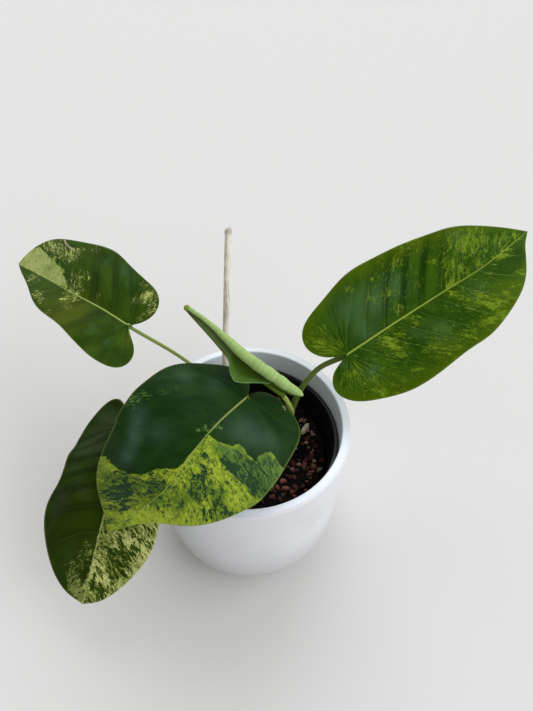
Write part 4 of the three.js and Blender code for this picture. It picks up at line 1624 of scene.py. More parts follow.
@dataclass(frozen=True)
class NurseryPot:
    """Black nursery pot."""

    bottom: float = 6.8
    top: float = 122.0
    rim_radius: float = 67.2
    rim_height: float = 3.2
    top_radius: float = 66.0
    foot_radius: float = 45.5
    base_radius: float = 36.5
    foot_height: float = 4.0
    wall: float = 1.4
    sides: int = 160

    def inner_radius(self, height: float) -> float:
        """Radius inside the tapering wall."""
        low, high = self.bottom + self.foot_height, self.top - self.rim_height
        widening = self.top_radius - self.foot_radius
        return self.foot_radius + widening * (height - low) / (high - low) - self.wall

    def built(self, effects: Effects) -> bpy.types.Object:
        """Builds the pot: tapering wall, foot and a small lip with rounded edges."""
        lip, foot = self.top - self.rim_height, self.bottom + self.foot_height
        inner, outer_round, inner_round = self.top_radius - self.wall, 0.6, 0.5
        profile = [
            (0.0, self.bottom), (self.base_radius, self.bottom), (self.foot_radius - 0.5, foot - 0.3),
            (self.foot_radius, foot), (self.top_radius, lip), (self.rim_radius - 0.2, lip + 0.3),
        ]
        profile += arc((self.rim_radius - outer_round, self.top - outer_round), outer_round, 0, 90, 5)
        profile += arc((inner + inner_round, self.top - inner_round), inner_round, 90, 180, 5)
        profile += [
            (inner, lip), (self.foot_radius - self.wall, foot + 0.4),
            (self.base_radius - 0.4, self.bottom + self.wall), (0.0, self.bottom + self.wall),
        ]
        skin = turned(profile, self.sides)
        piece = skin.built("black_nursery_pot", PlasticFinish().material(effects), crease=40)
        return placed(piece, Slot.PLASTIC, "nursery_pot")


@dataclass(frozen=True)
class PottingMix:
    """Potting mix: a loose bed and the pieces of lava, pumice and bark on it.

    Attributes:
        pot: The pot round it.
        level: Mean height of the surface.
        edge: Radius of the surface.
        bottom: Height of its underside.
        bottom_radius: Radius of its underside.
        gap: Distance to the pot's wall.
        granule_count: Pieces that the solid carries.
        granule_seed: Start of their draw.
        granule_reach: Farthest from the axis that one lies.
        half_range: Their smallest and largest half size.
        clearance: Their least distance from the stem and the stake.
        stem: Where the stem stands.
        stem_radius: Its radius.
        stake: Where the stake passes the surface.
        stake_radius: Its radius.
        scatter: Small pieces strewn over the bed.
        scatter_seed: Start of their draw.
        scatter_reach: Farthest from the axis that one lies.
        odds: Share of each kind of piece among those that aren't set.
        sunk: How far above the surface a piece's middle lies, in half sizes.
        rings: Steps from pole to pole of a piece.
        sides: Steps round it.
        key_stones: Stones at set places: x, y, half size, stretch, turn and kind.
    """

    pot: NurseryPot = NurseryPot()
    level: float = 101.0
    edge: float = 59.6
    bottom: float = 8.5
    bottom_radius: float = 35.3
    gap: float = 0.3
    granule_count: int = 42
    granule_seed: int = 11
    granule_reach: float = 53.0
    half_range: Pair = (1.7, 3.3)
    clearance: float = 7.5
    stem: Pair = (28.0, 21.0)
    stem_radius: float = 7.0
    stake: Pair = (-23.4, 42.6)
    stake_radius: float = 2.4
    scatter: int = 900
    scatter_seed: int = 23
    scatter_reach: float = 57.5
    odds: tuple[float, ...] = (0.25, 0.27, 0.25, 0.05, 0.0, 0.03, 0.15)
    sunk: float = 0.3
    rings: int = 5
    sides: int = 7
    key_stones: tuple[tuple[float, float, float, float, float, Stone], ...] = (
        (44.2, 18.8, 3.0, 1.8, 0.95, Stone.PUMICE), (41.3, 26.8, 1.9, 1.6, 0.9, Stone.PINK),
        (38.4, -13.5, 2.1, 1.2, 0.3, Stone.PINK), (43.0, -11.2, 1.7, 1.1, 0.0, Stone.ASH),
        (33.2, -17.9, 1.9, 1.1, 0.4, Stone.PINK), (36.4, 1.0, 1.6, 1.3, 2.0, Stone.PINK),
        (25.4, -27.9, 2.4, 1.2, 0.9, Stone.LAVA), (28.4, -34.6, 2.2, 1.3, 0.2, Stone.LAVA),
        (18.2, -40.1, 2.0, 1.2, 1.2, Stone.LAVA), (45.1, 6.0, 1.7, 1.3, 0.5, Stone.PINK),
        (21.5, -33.0, 2.0, 1.2, 2.2, Stone.LAVA), (31.0, -24.5, 2.2, 1.1, 1.7, Stone.DARK_LAVA),
    )

    def bump(self, x: np.ndarray, y: np.ndarray) -> np.ndarray:
        """Long bumps of the surface: a sine times a cosine plus a diagonal sine."""
        return 1.3 * np.sin(x / 9 + 0.6) * np.cos(y / 11) + 0.7 * np.sin((x - y) / 5.2)

    def bed(self) -> Skin:
        """Bed of the mix: bumps and three sizes of noise on a disc, on a tapering body."""
        low, high, flat = 12.0, self.level - 4, 58.5
        profile = [(0.0, self.bottom), (self.bottom_radius, self.bottom)]
        profile += [(self.pot.inner_radius(height) - self.gap, height) for height in (low, high)]
        profile += [(self.edge, self.level - 1.5)] + [(r, self.level) for r in np.linspace(flat, 0, 110)]
        skin = turned(profile, 360)
        x, y, z = skin.points.T
        fine = (
            0.8 * value_noise(x / 3.4 + 9, y / 3.4 + 4, 1) + 0.55 * value_noise(x / 1.5, y / 1.5, 2)
            + 0.3 * value_noise(x / 0.8, y / 0.8, 3)
        )
        fade = smoothstep(flat + 0.1 - np.hypot(x, y), 0, 3)
        skin.points[:, 2] = np.where(z > self.level - 0.1, z + (self.bump(x, y) + fine) * fade, z)
        return skin

    def solid_granules(self) -> np.ndarray:
        """Places and half sizes of the pieces that the solid carries, by its own seeded rule."""
        state = self.granule_seed
        found: list[Point] = []

        def draw() -> float:
            """Next value of the repeating draw."""
            nonlocal state
            state = (state * 1664525 + 1013904223) % 4294967296
            return state / 4294967296

        stake = Stake().at(self.level)
        while len(found) < self.granule_count:
            reach, angle = self.granule_reach * math.sqrt(draw()), 2 * math.pi * draw()
            half = self.half_range[0] + (self.half_range[1] - self.half_range[0]) * draw() ** 1.6
            for _ in range(6):
                draw()
            place = (reach * math.cos(angle), reach * math.sin(angle))
            stem_gap = math.dist(place, self.stem) - self.stem_radius
            if min(stem_gap, math.dist(place, stake) - self.stake_radius) > self.clearance:
                found.append((*place, half))
        return np.array(found)

    def lumps(self) -> Skin:
        """All loose pieces as lumps of a few dozen faces each.

        A lump is a coarse ball whose radius varies by a random factor per corner; it is stretched,
        turned about the upright and tipped, and sunk by two thirds into the bed.

        Returns:
            One surface with a tint per point.
        """
        rng = np.random.default_rng(self.scatter_seed)
        large, keys, kinds = self.solid_granules(), self.key_stones, list(Stone)
        angle = rng.uniform(0, 2 * np.pi, self.scatter)
        reach = self.scatter_reach * np.sqrt(rng.uniform(0, 1, self.scatter))
        x, y = reach * np.cos(angle), reach * np.sin(angle)
        half = 0.7 + 1.7 * rng.uniform(0, 1, self.scatter) ** 1.6
        clear = (np.hypot(x - self.stem[0], y - self.stem[1]) > 8) & (
            np.hypot(x - self.stake[0], y - self.stake[1]) > 4)
        small = np.column_stack([x, y, half])[clear]
        px, py, halves = np.vstack([large, [key[:3] for key in keys], small]).T
        count = len(halves)
        ranges = ((1.0, 1.5), (0.8, 1.1), (0.6, 0.95))
        stretch = np.column_stack([rng.uniform(*limits, count) for limits in ranges])
        turn = rng.uniform(0, np.pi, count)
        kind = rng.choice(len(kinds), count, p=self.odds)
        chosen = slice(len(large), len(large) + len(keys))
        stretch[chosen] = [(key[3], 0.85, 0.8) for key in keys]
        turn[chosen] = [key[4] for key in keys]
        kind[chosen] = [kinds.index(key[5]) for key in keys]
        tint = np.array([linear(*k.value) for k in kinds])[kind] * rng.uniform(0.6, 1.25, (count, 1))
        polar = np.linspace(0, np.pi, self.rings + 1)[:, None]
        round_it = np.linspace(0, 2 * np.pi, self.sides, endpoint=False)[None, :]
        flat = (np.sin(polar) * np.cos(round_it), np.sin(polar) * np.sin(round_it), np.cos(polar))
        ball = np.stack(np.broadcast_arrays(*flat), -1).reshape(-1, 3)
        rough = rng.uniform(0.66, 1.16, (count, len(ball)))
        rough[chosen] = 0.85 + 0.15 * rough[chosen]
        rough[:, : self.sides] = rough[:, :1]
        rough[:, -self.sides :] = rough[:, -1:]
        shape = ball[None] * rough[..., None] * (stretch * halves[:, None])[:, None]
        tip = rng.uniform(-0.5, 0.5, (count, 1))
        height = shape[..., 2] + shape[..., 0] * np.sin(tip)
        cos, sin = np.cos(turn)[:, None], np.sin(turn)[:, None]
        turned_x = shape[..., 0] * cos - shape[..., 1] * sin
        turned_y = shape[..., 0] * sin + shape[..., 1] * cos
        base = self.level + self.bump(px, py) + halves * self.sunk
        points = np.stack([turned_x + px[:, None], turned_y + py[:, None], height + base[:, None]], -1)
        one = grid_quads(self.rings + 1, self.sides, wrap=True)
        faces = (one[None] + (np.arange(count) * len(ball))[:, None, None]).reshape(-1, 4)
        values = {"tint": np.repeat(tint, len(ball), axis=0)}
        return Skin(points.reshape(-1, 3), faces, values).welded().outward()

    def built(self) -> None:
        """Builds and places the bed and the loose pieces."""
        loose = MixFinish("loose_pieces", True).material()
        placed(self.bed().built("potting_mix_bed", MixFinish().material()), Slot.MIX, "soil")
        placed(self.lumps().built("lava_and_pumice", loose, crease=40), Slot.MIX, "soil")


@dataclass(frozen=True)
class Planter:
    """White planter."""

    radius: float = 75.0
    height: float = 140.0
    wall: float = 6.7
    taper: float = 1.2
    corner: float = 37.0
    floor: float = 6.5
    rim_rounding: float = 2.2
    rim_band: float = 9.0
    waist_height: float = 90.0
    waist_inset: float = 0.7
    band_inset: float = 0.3
    sides: int = 200

    def built(self, effects: Effects) -> bpy.types.Object:
        """Builds the planter: rounded lower edge, straight wall, flat rim with a rounded edge."""
        centre, inner = self.radius - self.taper - self.corner, self.radius - self.wall
        rounding, half = self.rim_rounding, self.rim_rounding / 2
        profile = [(0.0, 0.0)] + arc((centre, self.corner), self.corner, -90, 0, 36)
        profile += [(self.radius - self.waist_inset, self.waist_height)]
        profile += [(self.radius - self.band_inset, self.height - self.rim_band)]
        profile += arc((self.radius - rounding, self.height - rounding), rounding, 0, 90, 10)
        profile += arc((inner + half, self.height - half), half, 90, 180, 8)
        profile += arc((centre, self.corner), self.corner - self.floor, 0, -90, 20) + [(0.0, self.floor)]
        skin = turned(profile, self.sides)
        piece = skin.built("white_planter", GlazeFinish().material(effects), crease=70)
        return placed(piece, Slot.GLAZE, "outer_pot")


# Camera, light and floor


@dataclass(frozen=True)
class Sun:
    """One soft light: its name, strength, width in degrees and the direction that it stands in."""

    name: str
    strength: float
    width: float
    direction: Point


@dataclass(frozen=True)
class Studio:
    """Plain floor, soft light and the photo's viewpoint.

    Attributes:
        camera: Position of the camera in millimetres.
        right: Direction of the image's right side.
        up: Direction of the image's top.
        back: Direction from the scene to the camera.
        focal: Focal length in pixels of the image.
        image_height: Long side of the image in pixels.
        sensor: Width of the camera's sensor.
        suns: Soft light from behind, from low on the right and from the right.
        sun_colour: Their colour.
        sky: Colour of the even sky.
        sky_strength: Its strength.
        floor: Grey of the floor.
        floor_half: Half its side in metres.
    """

    camera: Point = (12.2007, -214.8621, 453.5283)
    right: Point = (0.999925, 0.009122, 0.008127)
    up: Point = (-0.012217, 0.746584, 0.665180)
    back: Point = (0.0, -0.665230, 0.746638)
    focal: float = 513.0
    image_height: float = 711.0
    sensor: float = 36.0
    suns: tuple[Sun, ...] = (
        Sun("back_window", 1.65, 64.0, (0.0, 1.0, 1.0)),
        Sun("low_right", 1.35, 50.0, (0.8, -0.6, 0.45)),
        Sun("right", 1.0, 50.0, (1.0, 0.0, 0.9)),
    )
    sun_colour: Colour = (0.97, 0.985, 1.0)
    sky: Colour = (1.0, 0.98, 0.93)
    sky_strength: float = 0.46
    floor: Colour = (211, 211, 211)
    floor_half: float = 6.0

    def set_camera(self) -> None:
        """Puts the camera where the photo was taken from."""
        data = bpy.data.cameras.new("photo_camera")
        data.sensor_width = self.sensor
        data.lens = self.sensor * self.focal / self.image_height
        data.clip_start, data.clip_end = 0.01, 50.0
        camera = linked("photo_camera", data)
        turn = Matrix((self.right, self.up, self.back)).transposed().to_4x4()
        camera.matrix_world = Matrix.Translation([v * MM for v in self.camera]) @ turn
        bpy.context.scene.camera = camera

    def set_light(self) -> None:
        """Adds the suns and the sky."""
        world = bpy.data.worlds.new("pale_studio")
        world.use_nodes = True
        backdrop = world.node_tree.nodes["Background"]
        backdrop.inputs["Color"].default_value = (*self.sky, 1.0)
        backdrop.inputs["Strength"].default_value = self.sky_strength
        bpy.context.scene.world = world
        for sun in self.suns:
            data = bpy.data.lights.new(sun.name, "SUN")
            data.energy, data.angle, data.color = sun.strength, math.radians(sun.width), self.sun_colour
            lamp = linked(sun.name, data)
            lamp.rotation_mode = "QUATERNION"
            lamp.rotation_quaternion = Vector(sun.direction).to_track_quat("Z", "Y")
        bpy.context.scene.view_settings.view_transform = "Standard"

    def set_floor(self) -> None:
        """Pale floor that reaches past the view."""
        mesh = bpy.data.meshes.new("floor")
        half = self.floor_half
        corners = [(-half, -half, 0), (half, -half, 0), (half, half, 0), (-half, half, 0)]
        mesh.from_pydata(corners, [], [(0, 1, 2, 3)])
        mesh.materials.append(Paint.started("pale_floor").finished(self.floor, 0.9, 0.1))
        linked("floor", mesh)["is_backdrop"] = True


# The four open leaves, with the pale wedge at the upper left one's tip

TIP_WEDGE: Pairs = (
    (150, -1), (150, 14), (138, 18), (134, 22), (120, 19), (108, 16), (98, 14), (87, 8), (82, 5), (77, 1),
    (88, 0.5), (104, 0), (118, 0),
)

BLADES: tuple[Blade, ...] = (
    Blade(
        name="leaf_front", node="blade_front",
        finish=LeafFinish(
            name="leaf_front_skin", deep=(12, 38, 5), fresh=(26, 54, 14), pale=(152, 170, 48),
            second_pale=(82, 108, 30), island=(30, 58, 34), vein=(64, 92, 44), midrib=(150, 164, 84),
            margin=(112, 132, 52), under=(92, 122, 62), painted_sheen=(70, 98, 84), warm=(84, 92, 26),
            grey=(72, 104, 46), fleck=(96, 128, 64), vein_strength=0.05, mottle=0.35, across=4.6,
            along=3.8, shine=0.06, seed=1.7,
        ),
        rib=((-0.7, -7.2, 178), (-17.3, -30.7, 183), (-32, -50, 179), (-50.7, -69.3, 163),
            (-92, -77.7, 120)),
        up_base=(0.05, -0.3, 0.95), up_tip=(-0.3, -0.85, 0.5), fold_right=(5, -10), fold_left=(5, -12),
        right=((0, 0), (-12, 5), (-17, 15), (-14, 25), (2, 39), (21, 53), (46, 57), (85, 58.5), (121, 52),
            (136, 38), (140.2, 23), (141.2, 11), (146, 0)),
        left=((0, 0), (-10, 1.5), (-18, 8), (-19, 22), (-12, 40), (8, 47), (34, 51), (60, 51.5), (84, 49),
            (106, 35.5), (118, 23), (124, 12), (134, 4.5), (146, 0)),
        lag=0.6, veins=9,
        stalk=((28, 20, 104), (27.5, 13, 130), (22, 5, 155), (9, -2, 171)),
        stalk_radii=(3.2, 1.9), stalk_tone=0.15, curl=3, relief=0.12, rib_line=0.44, rib_fade=0.55,
        scratch_reach=0.5,
        casts={
            Cast.ISLAND: spots((132, 23, 5.8, 0.75), (128, 16, 5.8, 0.8), (122, 20, 3.2, 0.5),
                (132, 14, 4.5, 0.6), (131, 8, 3.2, 0.5), (108, 7, 4.3, 0.6), (105, 2, 3.7, 0.5),
                (115, 5, 3.1, 0.4), (116, 9, 2.5, 0.4), (71, -7, 3.1, 0.7), (78, -12, 3.1, 0.6),
                (88, -12, 3.7, 0.5), (89, -18, 3.0, 0.6), (97, -14, 3.7, 0.65), (99, -20, 3.1, 0.6),
                (62, -20, 3.7, 0.7), (64, -26, 3.7, 0.75), (65, -31, 3.1, 0.65), (56, -24, 3.1, 0.5),
                (63, -40, 3.1, 0.55), (67, -45, 3.1, 0.5), (96, -31, 3.1, 0.5), (104, -31, 3.7, 0.7),
                (97, -40, 3.7, 0.6), (114, -8, 3.1, 0.4), (141, 7, 2.6, 0.4), (96, -6, 2.4, 0.3),
                (80, -25, 24, 0.36), (115, 10, 18, 0.34), (48, -36, 12, 0.6), (58, -44, 8, 0.5),
                (33, -42, 8, 0.45), wider=1.25, weaker=0.74),
            Cast.FLECK: spots((68, 55, 5.5, 0.5), (58, 50, 4.2, 0.45), (47, 41, 4.2, 0.3),
                (49, 3, 2.8, 0.45), (42, 1, 2.4, 0.4), (74, 58, 3.9, 0.45), (36, 38, 3.4, 0.25),
                (40, -3, 2.5, 0.45), (55, 6, 1.5, 0.6)),
            Cast.BLOOM: spots((74, 46, 7.7, 0.3), (82, 42, 5.5, 0.35), (90, 39, 6.3, 0.4),
                (98, 37, 5.5, 0.4), (106, 35, 5.5, 0.4), (115, 33, 5.7, 0.5), (77, 25, 9, 0.25),
                (22, 40, 6.7, 0.3), (12, 21, 6.7, 0.2), (23, -18, 12, 0.35), (16, -31, 8, 0.25),
                (34, -12, 9, 0.25), (30, -28, 8, 0.1)),
            Cast.CREASE: spots((0, -20, 14, 0.4), (4, 20, 14, 0.35)),
            Cast.BROWN: spots((146, 1, 2.2, 0.8), (141, 22, 1.5, 0.5)),
        },
        areas={
            Cast.PALE: (Patch(((136, 60), (130, 43), (128, 40), (127, 35), (125, 30), (122, 26), (121, 23),
                (117, 20), (113, 16), (108, 15), (102, 13), (96, 8), (91, 2), (85, 1), (69, 0), (53, -1),
                (52, -7), (50, -11), (47, -16), (43, -17), (39, -20), (40, -24), (43, -27), (41, -29),
                (43, -34), (36, -33), (26, -35), (23, -38), (24, -42), (25, -46), (24, -50), (24, -60),
                (150, -60), (160, 0), (150, 60)), 1.0, 0.6),),
            Cast.GREY: (Patch(((54, -6), (51, -11), (48, -16), (39, -20), (43, -27), (42, -33), (26, -35),
                (24, -42), (20, -58), (60, -58), (69, -49), (67, -38), (67, -31), (63, -22), (58, -13)),
                1.0, 2.5),),
        },
        scratches=(((-16.5, -22), (-15.5, -24)),),
    ),
    Blade(
        name="leaf_lower_left", node="blade_lower_left",
        finish=LeafFinish(
            name="leaf_lower_left_skin", deep=(24, 42, 0), fresh=(42, 64, 2), pale=(190, 194, 122),
            second_pale=(86, 102, 30), island=(34, 54, 6), vein=(82, 102, 46), midrib=(160, 168, 104),
            margin=(176, 164, 122), under=(92, 116, 60), painted_sheen=(64, 76, 58), warm=(50, 66, 0),
            grey=(140, 156, 96), fleck=(134, 146, 78), vein_strength=0.4, across=6.0, along=3.0,
            roughness=0.55, shine=0.02, seed=5.2,
        ),
        rib=((-85.4, -13.5, 149), (-88.6, -37.6, 141), (-96.2, -58, 121), (-106.3, -77.3, 92),
            (-121, -100.9, 48)),
        up_base=(-0.1, -0.6, 0.75), up_tip=(-0.05, -0.7, 0.7), fold_right=(-10, -10), fold_left=(22, -10),
        right=((0, 0), (-22, 6), (-32, 13), (-28, 21), (-14, 28), (6, 38), (30, 42), (70, 44), (104, 51.5),
            (121, 47), (134, 35), (142, 19), (144, 0)),
        left=((0, 0), (-18, 5), (-27, 12), (-26, 21), (-13, 29), (10, 32), (40, 33), (80, 38.5),
            (108, 35.5), (126, 26), (139.5, 13), (144, 0)),
        lag=0.75, veins=13,
        stalk=((27, 21, 104), (8, 14, 126), (-24, 6, 146), (-58, -2, 152)),
        stalk_radii=(3.1, 1.7), stalk_tone=0.5, curl=3, rib_radius=1.5, rib_line=0.75,
        casts={
            Cast.PALE: spots((91, -28, 6.9, 0.2), (80, -33, 5.5, 0.25), (123, -25, 7.2, 0.25),
                (109, -13, 9, -0.26), (130, -6, 4.4, -0.3), (109, -25, 3.5, -0.2), (112, -36, 8, 0.4),
                (95, -38, 7, 0.4), (126, -26, 6, 0.35), (136, 6, 7, 0.3), (104, -15, 6, -0.35),
                (103, -24, 5, -0.3), (89, -29, 4, -0.35), (135, -10, 4.5, -0.4), (87, -36, 5.5, 0.8),
                (101, -36, 5, 0.75), (117, -31, 6, 0.75), (127, -23, 6, 0.75), (118, -9, 5, 0.75),
                (126, -6, 4, 0.75), (98, -8, 4, 0.7), (91, -20, 4.5, 0.7)),
            Cast.FLECK: spots((116, 7, 5.7, 0.35), (124, 13, 5.8, 0.3), (131, 14, 5.1, 0.35),
                (136, 9, 5.9, 0.5), (140, 4, 6.6, 0.55), (140, 13, 4.4, 0.4), (108, 7, 4.2, 0.3),
                (111, 2, 3.5, 0.4)),
            Cast.BLOOM: spots((57, 33, 9.9, 0.35), (85, 39, 8.6, 0.35), (18, 23, 14, 0.6),
                (-7, 15, 14, 0.7), (100, 42, 5.8, 0.3), (69, 20, 7.0, 0.3), (30, 30, 16, 0.4)),
            Cast.WARM: spots((100, 18, 22, 0.4), (80, 10, 14, 0.35)),
            Cast.CREASE: spots((20, 20, 26, 0.6), (60, 22, 26, 0.6), (95, 24, 22, 0.5)),
        },
        areas={
            Cast.PALE: (Patch(((30, 0), (96, 0.3), (107, 0.5), (120, 1), (132, 3), (150, 8), (160, -60),
                (30, -60)), 0.55, 1.0),),
        },
    ),
    Blade(
        name="leaf_upper_left", node="blade_upper_left",
        finish=LeafFinish(
            name="leaf_upper_left_skin", deep=(30, 54, 3), fresh=(52, 76, 12), pale=(186, 192, 122),
            second_pale=(112, 132, 54), island=(44, 72, 24), vein=(96, 122, 56), midrib=(156, 168, 96),
            margin=(104, 126, 50), under=(96, 124, 62), painted_sheen=(62, 90, 58), warm=(80, 90, 4),
            grey=(138, 152, 88), fleck=(176, 184, 108), vein_strength=0.2, across=5.0, along=3.0,
            roughness=0.45, shine=0.05, seed=9.4,
        ),
        rib=((-93.1, 61, 176), (-114.6, 72.8, 182), (-138.4, 86.8, 184), (-168.7, 109.2, 181),
            (-202.5, 138.2, 172)),
        up_base=(-0.1, -0.35, 0.92), up_tip=(-0.1, -0.35, 0.92), fold_right=(4, 0), fold_left=(20, 22),
        right=((0, 0), (-12, 10.5), (-15, 22), (-3, 34), (18, 37.7), (38, 41.6), (56, 46.3), (74, 47.5),
            (97, 44.5), (120, 38.5), (133, 31.5), (139, 14), (138, 0)),
        left=((0, 0), (-4, 4.8), (-12, 8.2), (-22, 14), (-28, 26), (-20, 34), (3, 37), (30, 34), (60, 28),
            (80, 26.5), (93, 21), (108, 13), (125, 6.5), (138, 0)),
        lag=0.75, veins=9,
        stalk=((27, 22, 104), (3.5, 27, 125), (-28, 36.2, 141), (-59, 52.7, 154)),
        stalk_radii=(3.0, 1.4), stalk_tone=0.7, wave=0.8, waves=4, sweep=1.25, rib_radius=1.4, rib_line=0.6,
        scratch_reach=0.7,
        casts={
            Cast.PALE: spots((134, 29, 7.0, 0.5), (123, 28, 6.0, 0.4), (102, 27, 5.8, 0.35),
                (111, 19, 4.2, 0.6), (101, 14, 3.3, 0.5), (93, 12, 2.4, 0.4), (74, 0, 4.7, 0.5),
                (65, -2, 4.7, 0.5), (71, -8, 3.9, 0.3), (74, 16, 4.0, 0.25), (68, 16, 4.0, 0.3),
                (74, 6, 4.0, 0.3), (109, -6, 4.9, 0.35), (92, -16, 3.9, 0.3), (4, 26, 4.6, 0.4),
                (1, 30, 3.9, 0.35)),
            Cast.FLECK: spots((114, 28, 7, 0.5), (123, 28, 7, 0.5), (102, 27, 7, 0.5), (95, 27, 5, 0.4),
                (97, 35, 5, 0.4), (62, -13, 3.8, 0.4), (67, 5, 5, 0.35), (80, 12, 9, 0.35),
                (46, 7, 3.1, 0.35), (109, -6, 6, 0.4), (92, -16, 5, 0.4), (84, -20, 3.9, 0.4),
                (71, -25, 3.0, 0.35), (115, -5, 3.3, 0.4), (71, -8, 5, 0.35), (4, 26, 6, 0.5),
                (1, 30, 5, 0.5), (-7, 26, 5, 0.5), (-10, 18, 4.5, 0.45), (14, 34, 4.5, 0.45),
                (-6, 10, 4.6, 0.4), (12, 19, 3.9, 0.35), (-13, 21, 3.1, 0.45), (84, 42, 4.1, 0.4),
                (129, 17, 5.5, 0.7), (113, 14, 4.5, 0.7), (99, 10, 4, 0.55), weaker=0.75),
            Cast.BLOOM: spots((40, 37, 6.3, 0.5), (27, 32, 6.3, 0.4), (63, 36, 4.8, 0.3),
                (25, -19, 4.5, 0.4), (4, -21, 3.7, 0.4)),
            Cast.WARM: spots((58, -16, 20, 0.6), (-10, -11, 6.0, 0.4)),
            Cast.CREASE: spots((50, 22, 26, 0.7), (10, 20, 14, 0.4), (40, -16, 24, 0.55)),
            Cast.BROWN: spots((139, 6, 1.6, 0.9), (-8, -6.2, 1.6, 0.6), (-12, -8, 1.5, 0.5),
                (124, 9, 1.1, 0.7), (126, 15, 0.9, 0.6), (107, 9, 1.2, 0.6), (112, 34.5, 1.3, 0.6)),
        },
        areas={
            Cast.PALE: (Patch(TIP_WEDGE, 1.0, 0.7),),
            Cast.GREY: (Patch(TIP_WEDGE, 0.65, 1.5),),
        },
        scratches=(((119, 38), (111, 34)), ((111, 34), (102, 33))),
    ),
    Blade(
        name="leaf_right", node="blade_right",
        finish=LeafFinish(
            name="leaf_right_skin", deep=(30, 60, 3), fresh=(54, 84, 12), pale=(116, 138, 34),
            second_pale=(76, 104, 14), island=(36, 76, 28), vein=(112, 142, 58), midrib=(140, 160, 64),
            margin=(98, 124, 30), under=(98, 130, 56), painted_sheen=(70, 104, 64), warm=(80, 102, 0),
            grey=(120, 148, 60), fleck=(120, 142, 44), vein_strength=0.5, mottle=0.55, halo=0.75,
            across=4.6, along=2.2, shine=0.03, seed=14.6,
        ),
        rib=((69.8, 29, 182), (103, 45.2, 198), (134.7, 60.7, 212), (167.5, 78.3, 224),
            (206.2, 111.6, 230)),
        up_base=(0.1, -0.35, 0.9), up_tip=(0.1, -0.35, 0.9), fold_right=(5, 5), fold_left=(5, 5),
        right=((0, 0), (-9, 3), (-20, 8), (-23, 18), (-16.5, 29.5), (3, 39), (25, 45.5), (52, 45.4),
            (79, 42.8), (97, 43), (118, 36), (136, 28), (149, 18), (157, 8), (169, 0)),
        left=((0, 0), (-8, 3), (-19, 11), (-23, 25), (-13, 36), (8, 43), (33, 50), (62, 49), (102, 43),
            (132, 35), (150, 21), (162, 8), (169, 0)),
        lag=0.9, veins=16,
        stalk=((29, 22, 104), (33, 20.5, 130), (38.8, 22.9, 150.5), (51, 28.8, 167)),
        stalk_radii=(3.2, 2.0), stalk_tone=0.15, waves=5.5, relief=1.0, sweep=1.15, warm_margin=0.5,
        casts={
            Cast.PALE: spots((122, -24, 10.1, 0.55), (131, -21, 8.7, 0.55), (138, -20, 7.3, 0.5),
                (139, -10, 5.8, 0.35), (149, -8, 7.3, 0.4), (158, -5, 5.9, 0.55), (146, 0, 5.8, 0.5),
                (138, -1, 5.8, 0.45), (94, -2, 5.0, 0.75), (101, -7, 5.7, 0.6), (103, -17, 5.7, 0.45),
                (97, -21, 5.0, 0.45), (109, -7, 5.7, 0.5), (114, -2, 4.3, 0.5), (124, -5, 3.6, 0.4),
                (91, -46, 5.9, 0.4), (80, -43, 4.4, 0.35), (71, -37, 2.9, 0.4), (38, -23, 3.6, 0.4),
                (53, -21, 3.6, 0.35), (50, -7, 3.6, 0.35), (28, -39, 2.9, 0.3), (-18, -24, 5.8, 0.5),
                (-14, -17, 5.7, 0.5), (-8, -11, 6.4, 0.6), (-1, -9, 4.3, 0.5), (-5, -25, 5.1, 0.4),
                (54, 5, 4.9, 0.6), (57, 8, 3.5, 0.5), (30, 12, 6.3, 0.65), (32, 18, 5.6, 0.6),
                (29, 5, 5.7, 0.5), (39, 10, 4.2, 0.4), (17, 7, 3.5, 0.3), (-6, 14, 5.6, 0.6),
                (1, 12, 4.2, 0.5), (-15, 17, 4.2, 0.4), (1, 27, 5.6, 0.5), (7, 35, 6.9, 0.45),
                (17, 40, 5.5, 0.4), (28, 36, 5.5, 0.4), (36, 37, 5.5, 0.45), (54, 28, 5.5, 0.5),
                (61, 35, 6.2, 0.5), (72, 36, 5.5, 0.45), (97, 13, 5.6, 0.5), (106, 14, 4.9, 0.45),
                (109, 20, 6.3, 0.55), (113, 27, 5.6, 0.6), (114, 34, 5.5, 0.6), (104, 33, 5.5, 0.45),
                (124, 26, 5.6, 0.5), (132, 24, 5.6, 0.45), (95, 33, 5.5, 0.5), (83, 35, 5.5, 0.5),
                (93, 6, 4.2, 0.5), (67, 22, 5.6, 0.35), (142, 18, 5.0, 0.35), (48, -36, 1.6, 1.3),
                weaker=0.77),
            Cast.FLECK: spots((71, -37, 4, 0.5), (38, -23, 4, 0.45), (53, -21, 4, 0.45), (50, -7, 4, 0.45),
                (28, -39, 3.5, 0.4), (60, -28, 22, 0.25), (91, -44, 8, 0.4), (125, -20, 22, 0.35),
                (100, 15, 22, 0.3), (30, 14, 16, 0.35), (0, 20, 16, 0.35), (-12, -20, 10, 0.35),
                (60, 34, 16, 0.3), weaker=0.7),
            Cast.BLOOM: spots((21, -26, 13.0, 0.5), (40, -22, 11.5, 0.6), (60, -23, 10.0, 0.6),
                (21, -8, 8.6, 0.5), (125, -25, 7.2, 0.4), (67, 22, 8.4, 0.35), (52, 17, 7.0, 0.4),
                (8, 19, 5.6, 0.5), (-6, 5, 3.5, 0.4), (110, 12, 7.0, 0.3)),
            Cast.WARM: spots((125, 30, 18, 0.5), (60, 38, 18, 0.35), (-14, -20, 14, 0.3),
                (10, 35, 14, 0.3)),
            Cast.DARK: spots((135, 6, 10, 0.8), (148, 8, 8, 0.8), (47, 23, 10, 0.8), (79, 41, 7, 0.4),
                (28, 25, 5, 0.5), (81, 4, 7, 0.6)),
            Cast.CREASE: spots((68, -20, 20, 1.1), (92, -24, 16, 1.0), (40, -18, 14, 0.5),
                (60, 14, 20, 0.4), (28, 20, 14, 0.4)),
            Cast.BROWN: spots((168.5, 0, 1.8, 0.9)),
        },
    ),
)


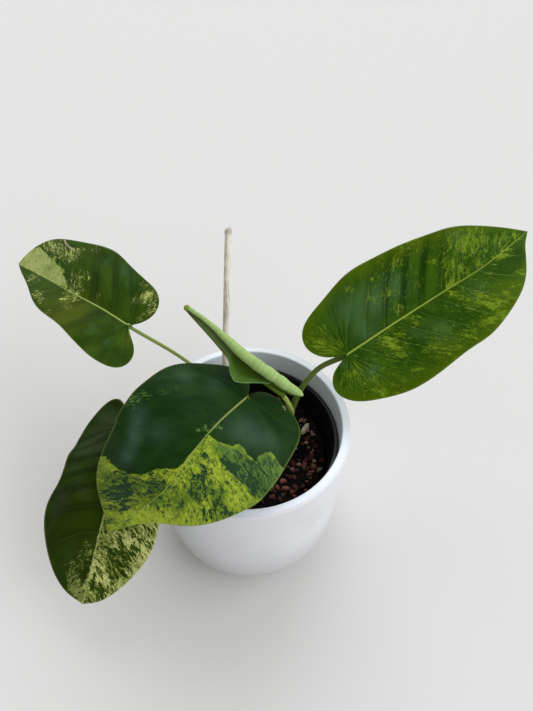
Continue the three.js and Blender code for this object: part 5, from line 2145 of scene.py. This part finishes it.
def main() -> None:
    """Builds the whole object in order."""
    logging.basicConfig(level=logging.INFO, format="%(name)s: %(message)s")
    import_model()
    solid_box = [list(corner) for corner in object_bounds()]
    box = np.array(solid_box) / MM
    studio = Studio()
    studio.set_camera()
    studio.set_light()
    studio.set_floor()
    effects, rolled = Effects(), RolledLeaf()
    Planter().built(effects)
    NurseryPot().built(effects)
    PottingMix().built()
    Stake().built()
    new_stalk = Stalk(rolled.stalk, *rolled.stalk_radii, rolled.stalk_tone)
    StemAndStalks((*(blade.whole_stalk() for blade in BLADES), new_stalk)).built()
    for blade in BLADES:
        blade.built(effects, box)
    rolled.built()


if __name__ == "__main__":
    main()
